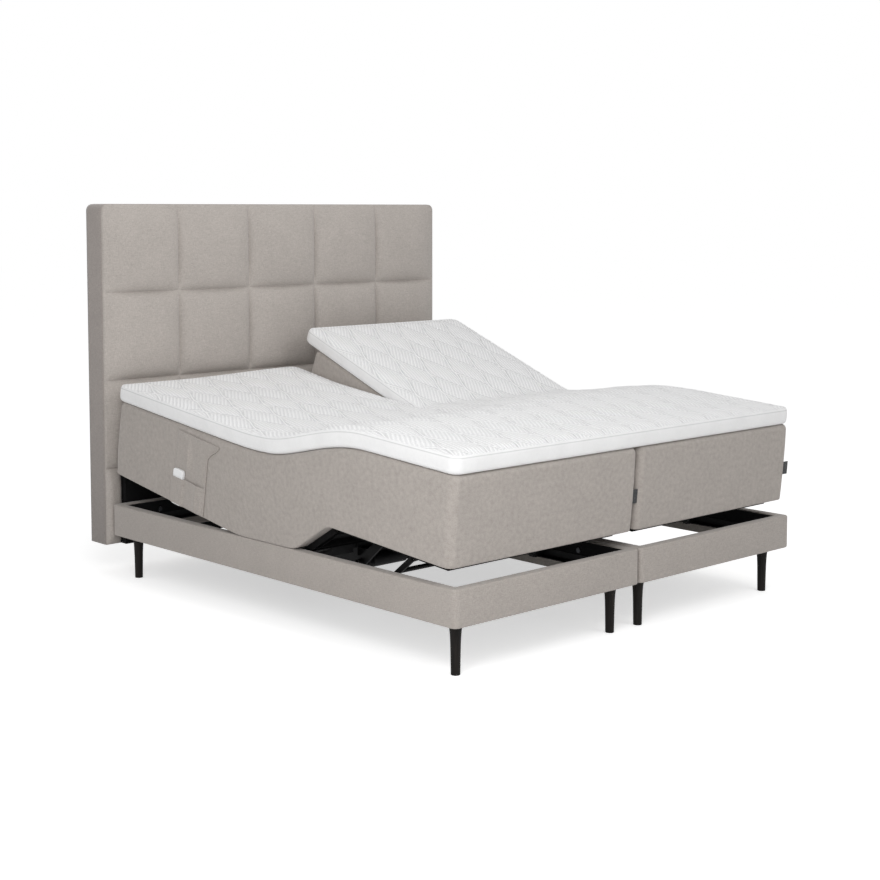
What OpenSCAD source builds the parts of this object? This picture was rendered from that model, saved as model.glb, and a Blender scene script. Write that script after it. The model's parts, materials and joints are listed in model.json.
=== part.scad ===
// Adjustable double bed: two motorised beds side by side under one split topper,
// with a tufted headboard. Millimetres, +Z up, the foot end faces -Y. The origin
// lies on the floor below the middle of the whole bed.
// "Near" is the half at -X, "far" the half at +X. The pose drawn is the rest pose:
// the near back barely raised, the far back half raised and both leg ends raised.

/* [Base frames] */
// Width of one base frame
half_w = 898; // [860:1:960]
// Gap between the two base frames
half_gap = 4; // [3:1:8]
// Height of the upholstered rails
rail_h = 125; // [118:1:140]
// Thickness of the upholstered rails
rail_t = 40; // [34:1:46]
// Radius of the base frames' upright corners
base_corner_r = 22; // [10:1:30]
// Thickness of the dark lining inside the rails
lining_t = 3; // [2:0.5:4]
// Reach of the timber blocks inside the corners, from the frame's outer faces
block_w = 108; // [100:1:125]
// Height of the corner blocks
block_h = 40; // [35:1:45]

/* [Legs] */
// Height of a leg below its plate
leg_h = 169; // [140:1:200]
// Radius of a leg at the floor
leg_foot_r = 15.5; // [13:0.5:18]
// Radius of a leg below its flare
leg_neck_r = 18; // [16:0.5:21]
// Radius of a leg at its plate
leg_top_r = 24; // [22:0.5:28]
// Distance of a leg's axis from the frame's outer faces
leg_inset = 74; // [66:1:80]
// Thickness of the leg plates
leg_plate_t = 3; // [2:0.5:5]
// Radius of the threaded stud in a leg
leg_stud_r = 4; // [3:0.5:5]

/* [Mattress sections] */
// Length of the back section
back_len = 835; // [780:1:880]
// Length of the fixed seat section
seat_len = 340; // [320:1:370]
// Length of the thigh section
thigh_len = 210; // [200:1:230]
// Length of the calf section
calf_len = 600; // [560:1:640]
// Distance of a mattress box's sides from the faces of its base frame
box_inset = 3; // [2.5:0.5:12]
// Thickness of a mattress box
box_t = 300; // [260:1:320]
// Radius of a box's upright corners
box_corner_r = 40; // [25:1:55]
// How far the seat of a box swells above its nominal thickness
seat_swell = 18; // [0:1:24]
// How far a box settles over the bent knee
knee_settle = 8; // [0:1:14]
// Swell of a box at the hip, fading out towards its head end
near_hip_swell = 26; // [10:1:30]
// Swell of the far box at the hip
far_hip_swell = 4; // [0:1:30]
// Swell over the thigh for each degree that the back is raised past lumbar_free
squeeze_rate = 2.3; // [0:0.1:3]
// Angle of the back up to which the box takes the bend without swelling
lumbar_free = 9; // [5:1:12]
// Width of the woven flag in a box's corner seam
flag_w = 46; // [40:1:52]
// Height of the woven flag
flag_h = 50; // [40:1:60]
// Height of the flag's lower edge above the box's underside
flag_rise = 99; // [60:1:200]

/* [Pose at rest] */
// Angle of the near back above flat
near_back_rest = 9; // [8:1:14]
// Angle of the far back above flat
far_back_rest = 22; // [18:1:28]
// Angle of the thigh sections above flat
leg_rest = 31; // [27:1:34]
// Angle of the calf sections below level
calf_fall = 4.8; // [3:0.1:6]
// Largest angle of a back
back_max = 60; // [55:1:64]
// Largest angle of the thighs
leg_max = 40; // [36:1:42]

/* [Topper] */
// Thickness of the topper's border
topper_t = 70; // [50:1:80]
// Distance of the topper's sides from the outer faces of the boxes
topper_inset = 2; // [0:1:30]
// Width of the split between the two back parts
topper_split = 6; // [4:1:12]
// Radius of the topper's upright corners
topper_corner_r = 45; // [30:1:60]
// How far the topper slides over a back for each degree of its angle
topper_slide_rate = 3.75; // [3.2:0.05:4]
// Overhang of the near topper end at rest
near_overhang = 15; // [0:1:30]
// Overhang of the far topper end at rest
far_overhang = 83; // [60:1:84]

/* [Headboard] */
// How far the headboard reaches past the base frames at each side
head_over = 0; // [0:1:60]
// Height of the headboard's top edge above the floor
head_top = 1500; // [1350:1:1600]
// Height of the headboard's lower edge above the floor
head_low = 125; // [100:1:150]
// Thickness of the timber board with its ribs
board_t = 88; // [70:1:100]
// Depth of the tufted pads
pad_t = 66; // [50:1:80]
// Height of a full row of pads
pad_row_h = 355; // [330:1:380]
// Depth of the seams between pads
seam_depth = 40; // [25:1:45]
// Width of the fabric strip beside the lining at the bottom
strip_w = 65; // [50:1:90]
// Thickness of the cloth on the back
back_cloth_t = 2; // [1:0.5:4]
// Thickness of the steel plates between base frames and headboard
bracket_t = 4; // [3:0.5:6]

/* [Decks and hinges] */
// Overall thickness of a deck
deck_t = 22; // [20:1:26]
// Thickness of a deck's steel sheet
sheet_t = 1.5; // [1:0.5:2.5]
// Width of a deck's edge channels
channel_w = 30; // [24:1:36]
// Gap between a deck and the lining at each side
deck_side_gap = 8; // [6:1:12]
// Radius of the hinge pins
pin_r = 5; // [4:0.5:6]
// Width of a hinge knuckle
knuckle_w = 22; // [18:1:28]
// Distance of the hinges from the sides of a deck
hinge_inset = 63; // [55:1:90]
// Width of the legs of the mechanism's angle irons
angle_w = 30; // [26:1:32]
// Thickness of the angle irons
angle_t = 3; // [2:0.5:4]

/* [Lifting mechanism] */
// Radius of the torsion tubes
tube_r = 13; // [11:0.5:15]
// Length of a torsion tube
tube_len = 290; // [284:1:320]
// Height of the torsion tubes' axes above the rails' lower edge
tube_rise = 31; // [30:1:34]
// Distance of the leg tube from the thigh hinge, towards the head
leg_tube_in = 20; // [15:1:25]
// Length of the back lift's arms
back_arm = 260; // [250:1:280]
// Angle of the back lift's arms when the back is flat
back_arm_flat = 11.5; // [11:0.1:12]
// Turn of the back lift for each degree of the back
back_lift_ratio = 0.84; // [0.83:0.005:0.85]
// Length of the leg lift's arms
leg_arm = 190; // [184:1:196]
// Angle of the leg lift's arms when the thighs are flat
leg_arm_flat = 16; // [15.5:0.1:16]
// Turn of the leg lift for each degree of the thigh
leg_lift_ratio = 0.75; // [0.74:0.005:0.76]
// Distance of an arm from the middle of its tube
arm_x = 120; // [116:1:126]
// Thickness of an arm
arm_t = 8; // [6:1:9]
// Radius of the lift rollers
roller_r = 18; // [16:0.5:19]
// Width of the lift rollers
roller_w = 24; // [20:1:26]
// Width of the drive's housing
drive_w = 160; // [140:1:170]
// Distance of a strut's pin from the knee, along the calf
strut_pin_u = 340; // [320:5:360]
// Distance from the thigh hinge to the struts' lower pivots
strut_foot = 375; // [365:1:385]

/* [Handset and pocket] */
// Width of the remote pocket along the back
pocket_w = 200; // [180:1:220]
// Distance of the pocket's lower end from the hip hinge, along the back
pocket_u = 215; // [205:1:240]
// Height of the pocket's mouth above the deck
mouth_v = 114; // [100:1:125]
// How far the pocket stands off the box
pocket_depth = 20.7; // [20:0.1:24]
// Width of the handset
handset_w = 62; // [54:1:68]
// Length of the handset
handset_len = 139; // [125:1:150]
// Thickness of the handset's case
handset_t = 13.5; // [12:0.1:14]
// Travel of a key
key_travel = 1; // [0.8:0.1:1.2]

/* [Clearances] */
// Gap between pieces that seat on each other
seat_gap = 0.3; // [0.2:0.05:0.4]
// Gap round the hinge pins
pin_gap = 0.2; // [0.15:0.05:0.3]
// Gap between a fold and the faces beside it
fold_gap = 0.5; // [0.4:0.1:1]

/* [Hidden] */

$fn = 48;
NEAR = -1;
FAR = 1;

// Levels and stations
rail_z = leg_h + leg_plate_t;
rail_top = rail_z + rail_h;
hinge_z = rail_top - deck_t / 2;
base_len = calf_len + thigh_len + seat_len + back_len + 5;
head_t = pad_t + board_t + back_cloth_t;
foot_y = -(base_len + bracket_t + head_t) / 2;
head_y = foot_y + base_len;
pad_y = head_y + bracket_t;
board_y = pad_y + pad_t;
half_x = (half_w + half_gap) / 2;
box_w = half_w - 2 * box_inset;
topper_w = 2 * half_x + box_w - 2 * topper_inset;
head_w = 2 * half_x + half_w + 2 * head_over;
hip_y = foot_y + calf_len + thigh_len + seat_len;
thigh_y = hip_y - seat_len;
inner_w = half_w - 2 * rail_t;
deck_w = inner_w - 2 * lining_t - 2 * deck_side_gap;
hinge_x = deck_w / 2 - hinge_inset;
angle_x = inner_w / 2 - lining_t - seat_gap;
block_top = rail_z + block_h;
lining_drop = 4;
bolt_r = 4;
bolt_clear = 0.3;
bolt_head_r = 9;
bolt_head_t = 5;
bolt_z = rail_z + 0.69 * rail_h;
head_bolt_x = 250;
bracket_w = 60;
frame_bolt_inset = 250;

// Hinge axes in the YZ plane
hip = [hip_y, hinge_z];
thigh_hinge = [thigh_y, hinge_z];
knee = along(thigh_hinge, -1, leg_rest, thigh_len, 0);
back_tube = [hip_y, rail_z + tube_rise];
leg_tube = [thigh_y + leg_tube_in, rail_z + tube_rise];
strut_pivot = [thigh_y - strut_foot, block_top + angle_w / 2];
strut_pin_v = -deck_t / 2 - 15;

// How the mattress is cut at the hinges: lean of each cut from its section's normal.
// Each pair of cuts still has a spare angle between them at the section's upper limit.
seat_hip_lean = 8;
hip_spare = 1.5;
back_hip_lean = back_max - seat_hip_lean + hip_spare;
seat_thigh_lean = 25;
thigh_spare = 7;
thigh_seat_lean = leg_max - seat_thigh_lean + thigh_spare;
knee_lean = 0.25;

// Top of the boxes
seat_lie = rail_top + box_t + seat_swell;
calf_top_foot = along(knee, -1, -calf_fall, calf_len, deck_t / 2 + box_t);
calf_slope = tan(calf_fall) - knee_settle / calf_len;
lie_start = thigh_y + 170;
lie_end = knee[0] - 195;
swell_mid = thigh_y + 55;
swell_reach = 420;
hip_blend_r = 5;

// Pocket and handset in the near back's own directions
pocket_cloth = 2.2;
pocket_bottom_v = deck_t / 2 + 4;
mouth_top_v = deck_t / 2 + mouth_v;
handset_u = pocket_u + pocket_w - handset_w / 2 - 6;
handset_top_v = pocket_bottom_v + pocket_cloth + seat_gap + handset_len;
handset_x = box_w / 2 + seat_gap + pocket_cloth + seat_gap;
overall_half = half_x + box_w / 2 + seat_gap + pocket_depth;
key_w = 15;
key_l = 17;
key_proud = 1.2;
key_gap = 0.3;
key_depth = 5;

function along(o, dir, a, u, v) =
    [o[0] + dir * (u * cos(a) - v * sin(a)), o[1] + u * sin(a) + v * cos(a)];
function mix(a, b, t) = a + (b - a) * t;
function clamp01(t) = min(1, max(0, t));
function ease(t) = t * t * (3 - 2 * t);
function smooth_max(a, b, r) = (a + b) / 2 + sqrt(pow((a - b) / 2, 2) + r * r);

// Height of a box's top over seat and legs, without the back
function calf_lie(y) = calf_top_foot[1] + (y - calf_top_foot[0]) * calf_slope;
function leg_lie(y) =
    mix(seat_lie, calf_lie(y), ease(clamp01((lie_start - y) / (lie_start - lie_end))));
function swell(y, a) = let (t = min(1, abs(y - swell_mid) / swell_reach))
    squeeze_rate * max(0, a - lumbar_free) * pow(cos(90 * t), 2);
// Height of the straight top of a back raised by a
function back_low(a, hip_swell) = along(hip, 1, a, 0, deck_t / 2 + box_t + hip_swell);
function back_high(a) = along(hip, 1, a, back_len, deck_t / 2 + box_t - 6);
function back_lie(y, a, hip_swell) = let (p = back_low(a, hip_swell), q = back_high(a))
    p[1] + (y - p[0]) * (q[1] - p[1]) / (q[0] - p[0]);
function lie(y, a, hip_swell) =
    smooth_max(leg_lie(y) + swell(y, a), back_lie(y, a, hip_swell), hip_blend_r);

// Stations along the bed for the curved tops
lie_stations = concat(
    [foot_y - 60, foot_y + 40],
    [for (i = [0:17]) mix(lie_end - 60, hip_y - 120, i / 17)],
    [for (i = [0:7]) mix(hip_y - 90, hip_y + 120, i / 7)],
    [hip_y + 300, head_y + 80]);

function back_rest(side) = side == NEAR ? near_back_rest : far_back_rest;
function hip_swell(side) = side == NEAR ? near_hip_swell : far_hip_swell;
function side_lie(side, y) = lie(y, back_rest(side), hip_swell(side));

// ---------- helpers ----------

// An outline in Y and Z, given thickness from x0 to x1
module slab(points, x0, x1) {
    translate([x0, 0, 0]) rotate([90, 0, 90]) linear_extrude(x1 - x0) polygon(points);
}

// Children drawn in a section's own directions: x, u along it, v up from its hinge
module in_section(o, dir, a) {
    translate([0, o[0], o[1]]) rotate([dir * a, 0, 0]) mirror([0, dir < 0 ? 1 : 0, 0])
        children();
}

module in_half(side) { translate([side * half_x, 0, 0]) children(); }

module rounded_plan(w, l, r) {
    translate([-w / 2 + r, -l / 2]) square([w - 2 * r, l]);
    translate([-w / 2, -l / 2 + r]) square([w, l - 2 * r]);
    for (sx = [-1, 1], sy = [-1, 1])
        translate([sx * (w / 2 - r), sy * (l / 2 - r)]) circle(r);
}

// A plan whose far end at y = l has round corners
module end_plan(w, l, r) {
    translate([-w / 2, -l]) square([w, 2 * l - r]);
    translate([-w / 2 + r, 0]) square([w - 2 * r, l]);
    for (s = [-1, 1]) translate([s * (w / 2 - r), l - r]) circle(r);
}

module round_end(w, l, r, low, high) {
    translate([0, 0, low]) linear_extrude(high - low) end_plan(w, l, r);
}

module rod(r, l) { rotate([0, 90, 0]) cylinder(r = r, h = l, center = true); }
module rod_at(p, r, l) { translate([0, p[0], p[1]]) rod(r, l); }

// The space below a half's curved top, grown upwards by up
module under_lie(side, x0, x1, up = 0) {
    slab(concat(
        [for (y = lie_stations) [y, side_lie(side, y) + up]],
        [[lie_stations[len(lie_stations) - 1], 0], [lie_stations[0], 0]]), x0, x1);
}

// The layer that the topper fills over a half
module topper_band(side, x0, x1) {
    last = len(lie_stations) - 1;
    slab(concat(
        [for (y = lie_stations) [y, side_lie(side, y) + seat_gap]],
        [for (i = [0:last]) let (y = lie_stations[last - i])
            [y, side_lie(side, y) + seat_gap + topper_t]]), x0, x1);
}

// ---------- headboard ----------

module headboard_outline(w, low, top, r) {
    translate([-w / 2, low]) square([w, top - low - r]);
    translate([-w / 2 + r, low]) square([w - 2 * r, top - low]);
    for (s = [-1, 1]) translate([s * (w / 2 - r), top - r]) circle(r);
}

module headboard_slab(y, t, inset) {
    translate([0, y + t, 0]) rotate([90, 0, 0]) linear_extrude(t)
        headboard_outline(head_w - 2 * inset, head_low + inset, head_top - inset, 35);
}

module head_bolt_places() {
    for (side = [NEAR, FAR], s = [-1, 1])
        translate([side * half_x + s * head_bolt_x, 0, bolt_z]) children();
}

module bolt_hole_y(y0, y1) {
    translate([0, y0, 0]) rotate([-90, 0, 0]) cylinder(r = bolt_r + bolt_clear, h = y1 - y0);
}

bay_count = 9;
rib_t = 18;
panel_t = 22;
rim_t = 60;
bay_w = (head_w - 2 * rim_t - (bay_count - 1) * rib_t) / bay_count;

module headboard_board() {
    bay_h = (head_top - head_low - 2 * rim_t - 2 * rib_t) / 3;
    color("burlywood") difference() {
        headboard_slab(board_y, board_t, 0);
        for (i = [0:bay_count - 1], j = [0:2])
            translate([-head_w / 2 + rim_t + i * (bay_w + rib_t), board_y + panel_t,
                head_low + rim_t + j * (bay_h + rib_t)])
                cube([bay_w, board_t, bay_h]);
        head_bolt_places() bolt_hole_y(board_y - 1, board_y + panel_t + 1);
    }
}

// One tufted pad: it fills its field behind the seams and draws in towards its crown
module pad(w, h) {
    face = pad_t - seam_depth;
    levels = [[0, 0], [face, 0], [mix(face, pad_t, 0.55), 7], [mix(face, pad_t, 0.88), 22],
        [pad_t - 1, 44]];
    hull() for (l = levels) {
        inset = min(l[1], 0.4 * min(w, h));
        translate([inset, -l[0] - 1, inset]) cube([w - 2 * inset, 1, h - 2 * inset]);
    }
}

module headboard_padding() {
    cols = 5;
    rows = 3;
    pad_w = head_w / cols;
    strip_top = head_top - rows * pad_row_h;
    color([0.66, 0.64, 0.61]) intersection() {
        union() {
            for (i = [0:cols - 1], j = [1:rows])
                translate([-head_w / 2 + i * pad_w, board_y, head_top - j * pad_row_h])
                    pad(pad_w, pad_row_h);
            for (s = [0, 1])
                translate([s ? head_w / 2 - strip_w : -head_w / 2, board_y, head_low])
                    pad(strip_w, strip_top - head_low);
        }
        headboard_slab(pad_y, pad_t, 0);
    }
}

module headboard_lining() {
    top = head_top - 3 * pad_row_h - 1;
    color([0.08, 0.08, 0.08]) difference() {
        translate([-head_w / 2 + strip_w, pad_y, head_low])
            cube([head_w - 2 * strip_w, pad_t, top - head_low]);
        head_bolt_places() bolt_hole_y(pad_y - 1, board_y + 1);
    }
}

module headboard_back_cloth() {
    color([0.1, 0.1, 0.1]) headboard_slab(board_y + board_t, back_cloth_t, 0);
}

module headboard_brackets() {
    color([0.2, 0.2, 0.2]) head_bolt_places() difference() {
        translate([-bracket_w / 2, head_y, -rail_h / 2])
            cube([bracket_w, bracket_t, 0.75 * rail_h]);
        bolt_hole_y(head_y - 1, head_y + bracket_t + 1);
    }
}

module connecting_bolts() {
    y0 = head_y - rail_t;
    grip = half_gap + 2 * rail_t;
    color("silver") frame_bolt_places() {
        rod(bolt_r, grip);
        for (s = [-1, 1]) translate([s * (grip + bolt_head_t) / 2, 0, 0])
            rod(bolt_head_r, bolt_head_t);
    }
    color("silver") head_bolt_places() {
        translate([0, y0, 0]) rotate([-90, 0, 0])
            cylinder(r = bolt_r, h = rail_t + bracket_t + pad_t + panel_t);
        translate([0, y0 - bolt_head_t, 0]) rotate([-90, 0, 0])
            cylinder(r = bolt_head_r, h = bolt_head_t);
        translate([0, board_y + panel_t, 0]) rotate([-90, 0, 0])
            cylinder(r = bolt_head_r, h = bolt_head_t);
    }
}

// ---------- base frames ----------

frame_mid_y = foot_y + base_len / 2;
block_in = 12;

module frame_bolt_places() {
    for (y = [foot_y + frame_bolt_inset, head_y - frame_bolt_inset])
        translate([0, y, bolt_z]) children();
}

module head_rail_holes(side) {
    for (s = [-1, 1]) translate([s * head_bolt_x, 0, bolt_z])
        bolt_hole_y(head_y - rail_t - 1, head_y + 1);
}

module base_frame(side) {
    in_half(side) color([0.66, 0.64, 0.61]) difference() {
        union() {
            difference() {
                translate([0, frame_mid_y, rail_z])
                    linear_extrude(rail_h) rounded_plan(half_w, base_len, base_corner_r);
                translate([-inner_w / 2, foot_y + rail_t, rail_z - 1])
                    cube([inner_w, base_len - 2 * rail_t, rail_h + 2]);
            }
            for (sx = [-1, 1], sy = [-1, 1])
                translate([sx * (half_w - block_w - block_in) / 2,
                    frame_mid_y + sy * (base_len - block_w - block_in) / 2, rail_z + block_h / 2])
                    cube([block_w - block_in, block_w - block_in, block_h], center = true);
        }
        head_rail_holes(side);
        for (y = [foot_y + frame_bolt_inset, head_y - frame_bolt_inset])
            translate([-side * (half_w / 2 - rail_t / 2), y, bolt_z])
                rod(bolt_r + bolt_clear, rail_t + 2);
    }
}

module base_linings() {
    w = inner_w;
    l = base_len - 2 * rail_t;
    h = rail_top - lining_drop - block_top;
    hole_r = bolt_head_r + 1;
    color([0.07, 0.07, 0.07]) for (side = [NEAR, FAR]) in_half(side) difference() {
        translate([0, frame_mid_y, block_top + h / 2]) difference() {
            cube([w, l, h], center = true);
            cube([w - 2 * lining_t, l - 2 * lining_t, h + 2], center = true);
        }
        for (s = [-1, 1]) translate([s * head_bolt_x, head_y - rail_t, bolt_z])
            rotate([90, 0, 0]) cylinder(r = hole_r, h = 4 * lining_t, center = true);
        for (y = [foot_y + frame_bolt_inset, head_y - frame_bolt_inset])
            translate([-side * w / 2, y, bolt_z]) rod(hole_r, 4 * lining_t);
    }
}

// ---------- legs ----------

leg_stud_len = 38;
leg_plate_w = 64;

module leg_places(side) {
    in_half(side) for (sx = [-1, 1], sy = [-1, 1])
        translate([sx * (half_w / 2 - leg_inset),
            frame_mid_y + sy * (base_len / 2 - leg_inset), 0]) children();
}

function leg_r(t) =
    leg_foot_r + (leg_neck_r - leg_foot_r) * t + (leg_top_r - leg_neck_r) * pow(t, 6);

module leg() {
    steps = 16;
    difference() {
        rotate_extrude() polygon(concat([[0, 0], [leg_foot_r - 1, 0]],
            [for (i = [0:steps]) let (t = i / steps) [leg_r(t), max(1, t * leg_h)]],
            [[0, leg_h]]));
        translate([0, 0, leg_h - leg_stud_len - 2])
            cylinder(r = leg_stud_r + 0.2, h = leg_stud_len + 3);
    }
}

module legs() {
    color([0.13, 0.1, 0.08]) for (side = [NEAR, FAR]) leg_places(side) leg();
}

module leg_plates() {
    color([0.25, 0.25, 0.25]) for (side = [NEAR, FAR]) leg_places(side) {
        difference() {
            translate([0, 0, leg_h + leg_plate_t / 2])
                cube([leg_plate_w, leg_plate_w, leg_plate_t], center = true);
            for (sx = [-1, 1], sy = [-1, 1])
                translate([sx * 0.38 * leg_plate_w, sy * 0.38 * leg_plate_w, leg_h - 1])
                    cylinder(r = 2.2, h = leg_plate_t + 2);
        }
        translate([0, 0, leg_h - leg_stud_len]) cylinder(r = leg_stud_r, h = leg_stud_len + 1);
    }
}

// ---------- decks and hinges ----------

deck_lead = deck_t / 2 + 5;
deck_end_in = rail_t + lining_t + deck_side_gap;
barrel_r = deck_t / 2 - 0.5;
leaf_t = 4;
pin_head_r = 8;
pin_head_t = 3;

// One channel along u, open downwards
module channel(len) {
    wall = 2;
    difference() {
        translate([-channel_w / 2, 0, -deck_t / 2]) cube([channel_w, len, deck_t - sheet_t]);
        translate([-channel_w / 2 + wall, -1, -deck_t / 2 - 1])
            cube([channel_w - 2 * wall, len + 2, deck_t - sheet_t - wall + 1]);
    }
}

// A deck from u0 to u1: edge channels, cross channels no further apart than a slat bay,
// and a sheet over them
module deck(u0, u1) {
    bays = ceil((u1 - u0) / 210);
    translate([-deck_w / 2, u0, deck_t / 2 - sheet_t]) cube([deck_w, u1 - u0, sheet_t]);
    for (s = [-1, 1]) translate([s * (deck_w - channel_w) / 2, u0, 0]) channel(u1 - u0);
    for (i = [0:bays])
        translate([deck_w / 2 - 2, mix(u0 + channel_w / 2, u1 - channel_w / 2, i / bays), 0])
            rotate([0, 0, 90]) channel(deck_w - 4);
}

// Knuckles round a hinge axis at u = 0 with their leaves towards +u.
// outer: the two knuckles either side of the middle one
module knuckles(outer, solid_pin = false) {
    offs = outer ? [-1, 1] : [0];
    for (s = [-1, 1], k = offs) translate([s * hinge_x + k * (knuckle_w + seat_gap), 0, 0])
        difference() {
            union() {
                rod(barrel_r, knuckle_w);
                translate([-knuckle_w / 2, 0, -barrel_r]) cube([knuckle_w, deck_lead + 3, leaf_t]);
            }
            if (!solid_pin) rod(pin_r + pin_gap, knuckle_w + 2);
        }
}

module hinge_pin_pair() {
    reach = 3 * knuckle_w + 4 * seat_gap;
    for (s = [-1, 1]) translate([s * hinge_x, 0, 0]) {
        rod(pin_r, reach);
        for (k = [-1, 1]) translate([k * (reach + pin_head_t) / 2, 0, 0])
            rod(pin_head_r, pin_head_t);
    }
}

module hinge_pins() {
    color("gray") for (side = [NEAR, FAR]) in_half(side) {
        in_section(hip, 1, 0) hinge_pin_pair();
        in_section(thigh_hinge, 1, 0) hinge_pin_pair();
    }
}

// Place of a lift's roller axis in its deck's own directions, with the deck raised by a
function lift_angle(flat, ratio, a) = flat + ratio * a;
function roller_place(tube, hinge, dir, arm, flat, ratio, a) =
    let (p = lift_angle(flat, ratio, a),
        y = dir * (tube[0] - hinge[0]) + arm * cos(p), z = tube[1] - hinge[1] + arm * sin(p))
    [y * cos(a) + z * sin(a), z * cos(a) - y * sin(a)];

function unit(v) = v / norm(v);
// A point of a path moved upwards by r, square to the path
function stand_off(path, i, r) =
    let (t = unit(path[min(len(path) - 1, i + 1)] - path[max(0, i - 1)]))
    path[i] + r * (t[0] < 0 ? 1 : -1) * [t[1], -t[0]];

// Runner below a deck: its lower edge follows the roller through the whole travel
runner_steps = 12;
runner_lead = 16;
module runner(tube, hinge, dir, arm, flat, ratio, most) {
    path = [for (i = [0:runner_steps])
        roller_place(tube, hinge, dir, arm, flat, ratio, most * i / runner_steps)];
    edge = [for (i = [0:runner_steps]) stand_off(path, i, roller_r + 1.5 * seat_gap)];
    n = runner_steps;
    first = edge[0] + runner_lead * unit(edge[0] - edge[1]);
    last = edge[n] + runner_lead * unit(edge[n] - edge[n - 1]);
    points = concat([[first[0], deck_t / 2 - sheet_t], first], edge,
        [last, [last[0], deck_t / 2 - sheet_t]]);
    x0 = arm_x + arm_t / 2 + 2;
    for (s = [0, 1]) mirror([s, 0, 0]) slab(points, x0, x0 + roller_w);
}

module back_deck(side) {
    color([0.1, 0.1, 0.1]) in_half(side) in_section(hip, 1, back_rest(side)) {
        deck(deck_lead, back_len - deck_end_in);
        knuckles(true);
        runner(back_tube, hip, 1, back_arm, back_arm_flat, back_lift_ratio, back_max);
    }
}

module thigh_deck(side) {
    color([0.1, 0.1, 0.1]) in_half(side) in_section(thigh_hinge, -1, leg_rest) {
        deck(deck_lead, thigh_len - deck_lead);
        knuckles(true);
        translate([0, thigh_len, 0]) mirror([0, 1, 0]) knuckles(false, true);
        translate([0, thigh_len, 0]) hinge_pin_pair();
        runner(leg_tube, thigh_hinge, -1, leg_arm, leg_arm_flat, leg_lift_ratio, leg_max);
    }
}

strut_x = deck_w / 2 - channel_w - 12;
strut_t = 8;
strut_pin_r = 5;
strut_slack = 3.8;
ear_t = 5;

module calf_deck(side) {
    color([0.1, 0.1, 0.1]) in_half(side) in_section(knee, -1, -calf_fall) {
        deck(deck_lead, calf_len - deck_end_in);
        knuckles(true);
        for (s = [-1, 1]) {
            translate([s * (strut_x - strut_t - ear_t / 2), strut_pin_u, 0]) hanger(strut_pin_v, ear_t);
            translate([s * (strut_x - strut_t / 2), strut_pin_u, strut_pin_v])
                rod(strut_pin_r, 2 * strut_t + ear_t);
        }
    }
}

// A flat ear that hangs from a deck's sheet to a pin at height v
module hanger(v, t) {
    r = strut_pin_r + 7;
    top = deck_t / 2 - sheet_t + 0.5;
    translate([0, 0, v]) rod(r, t);
    slab([[-r, v], [r, v], [2 * r, top], [-2 * r, top]], -t / 2, t / 2);
}

// ---------- mechanism frame ----------

cross_t = 30;
cross_y = [thigh_y + 85, hip_y - 95];
plate_x = 100;
plate_t = 6;
tube_gap = 0.3;

module angle_iron(len) {
    translate([-angle_w, 0, 0]) cube([angle_w, len, angle_t]);
    translate([-angle_t, 0, 0]) cube([angle_t, len, angle_w]);
}

module bearing_plate(x) {
    low = back_tube[1] - 12;
    translate([x, 0, 0]) difference() {
        union() {
            for (p = [back_tube, leg_tube]) rod_at(p, tube_r + 9, plate_t);
            translate([-plate_t / 2, leg_tube[0], low])
                cube([plate_t, back_tube[0] - leg_tube[0], 26]);
            for (y = cross_y) translate([-plate_t / 2, y - 20, low])
                cube([plate_t, 40, rail_top - deck_t - low - 10]);
        }
        for (p = [back_tube, leg_tube]) rod_at(p, tube_r + tube_gap, plate_t + 2);
    }
}

module mechanism_frame(side) {
    len_y = base_len - 2 * (rail_t + lining_t + seat_gap);
    y0 = foot_y + rail_t + lining_t + seat_gap;
    deck_low = rail_top - deck_t;
    color([0.1, 0.1, 0.1]) in_half(side) {
        for (s = [0, 1]) mirror([s, 0, 0]) {
            translate([angle_x, y0, block_top]) angle_iron(len_y);
            for (y = [thigh_y + 45, hip_y - 55])
                translate([deck_w / 2 - 4, y - 20, block_top + angle_t - 1])
                    cube([angle_x - deck_w / 2 + 4, 40, deck_low + 8 - block_top]);
            translate([strut_x + strut_t, strut_pivot[0], strut_pivot[1]])
                rod(strut_pin_r, 3 * strut_t);
            translate([strut_x + strut_t / 2 + seat_gap, strut_pivot[0] - 14, block_top])
                cube([angle_x - strut_x - strut_t / 2 - seat_gap, 28, angle_w]);
        }
        for (e = [0, 1]) translate([0, e * (2 * y0 + len_y), block_top]) mirror([0, e, 0]) {
            translate([-angle_x, y0, 0]) cube([2 * angle_x, angle_w, angle_t]);
            translate([-angle_x, y0, 0]) cube([2 * angle_x, angle_t, angle_w]);
        }
        for (y = cross_y) translate([-angle_x, y - cross_t / 2, deck_low - cross_t])
            cube([2 * angle_x, cross_t, cross_t]);
        for (s = [-1, 1]) bearing_plate(s * plate_x);
        in_section(thigh_hinge, 1, 0) {
            deck(deck_lead, seat_len - deck_lead);
            knuckles(false);
            translate([0, seat_len, 0]) mirror([0, 1, 0]) knuckles(false);
        }
    }
}

// ---------- drives, lifts and struts ----------

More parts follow.
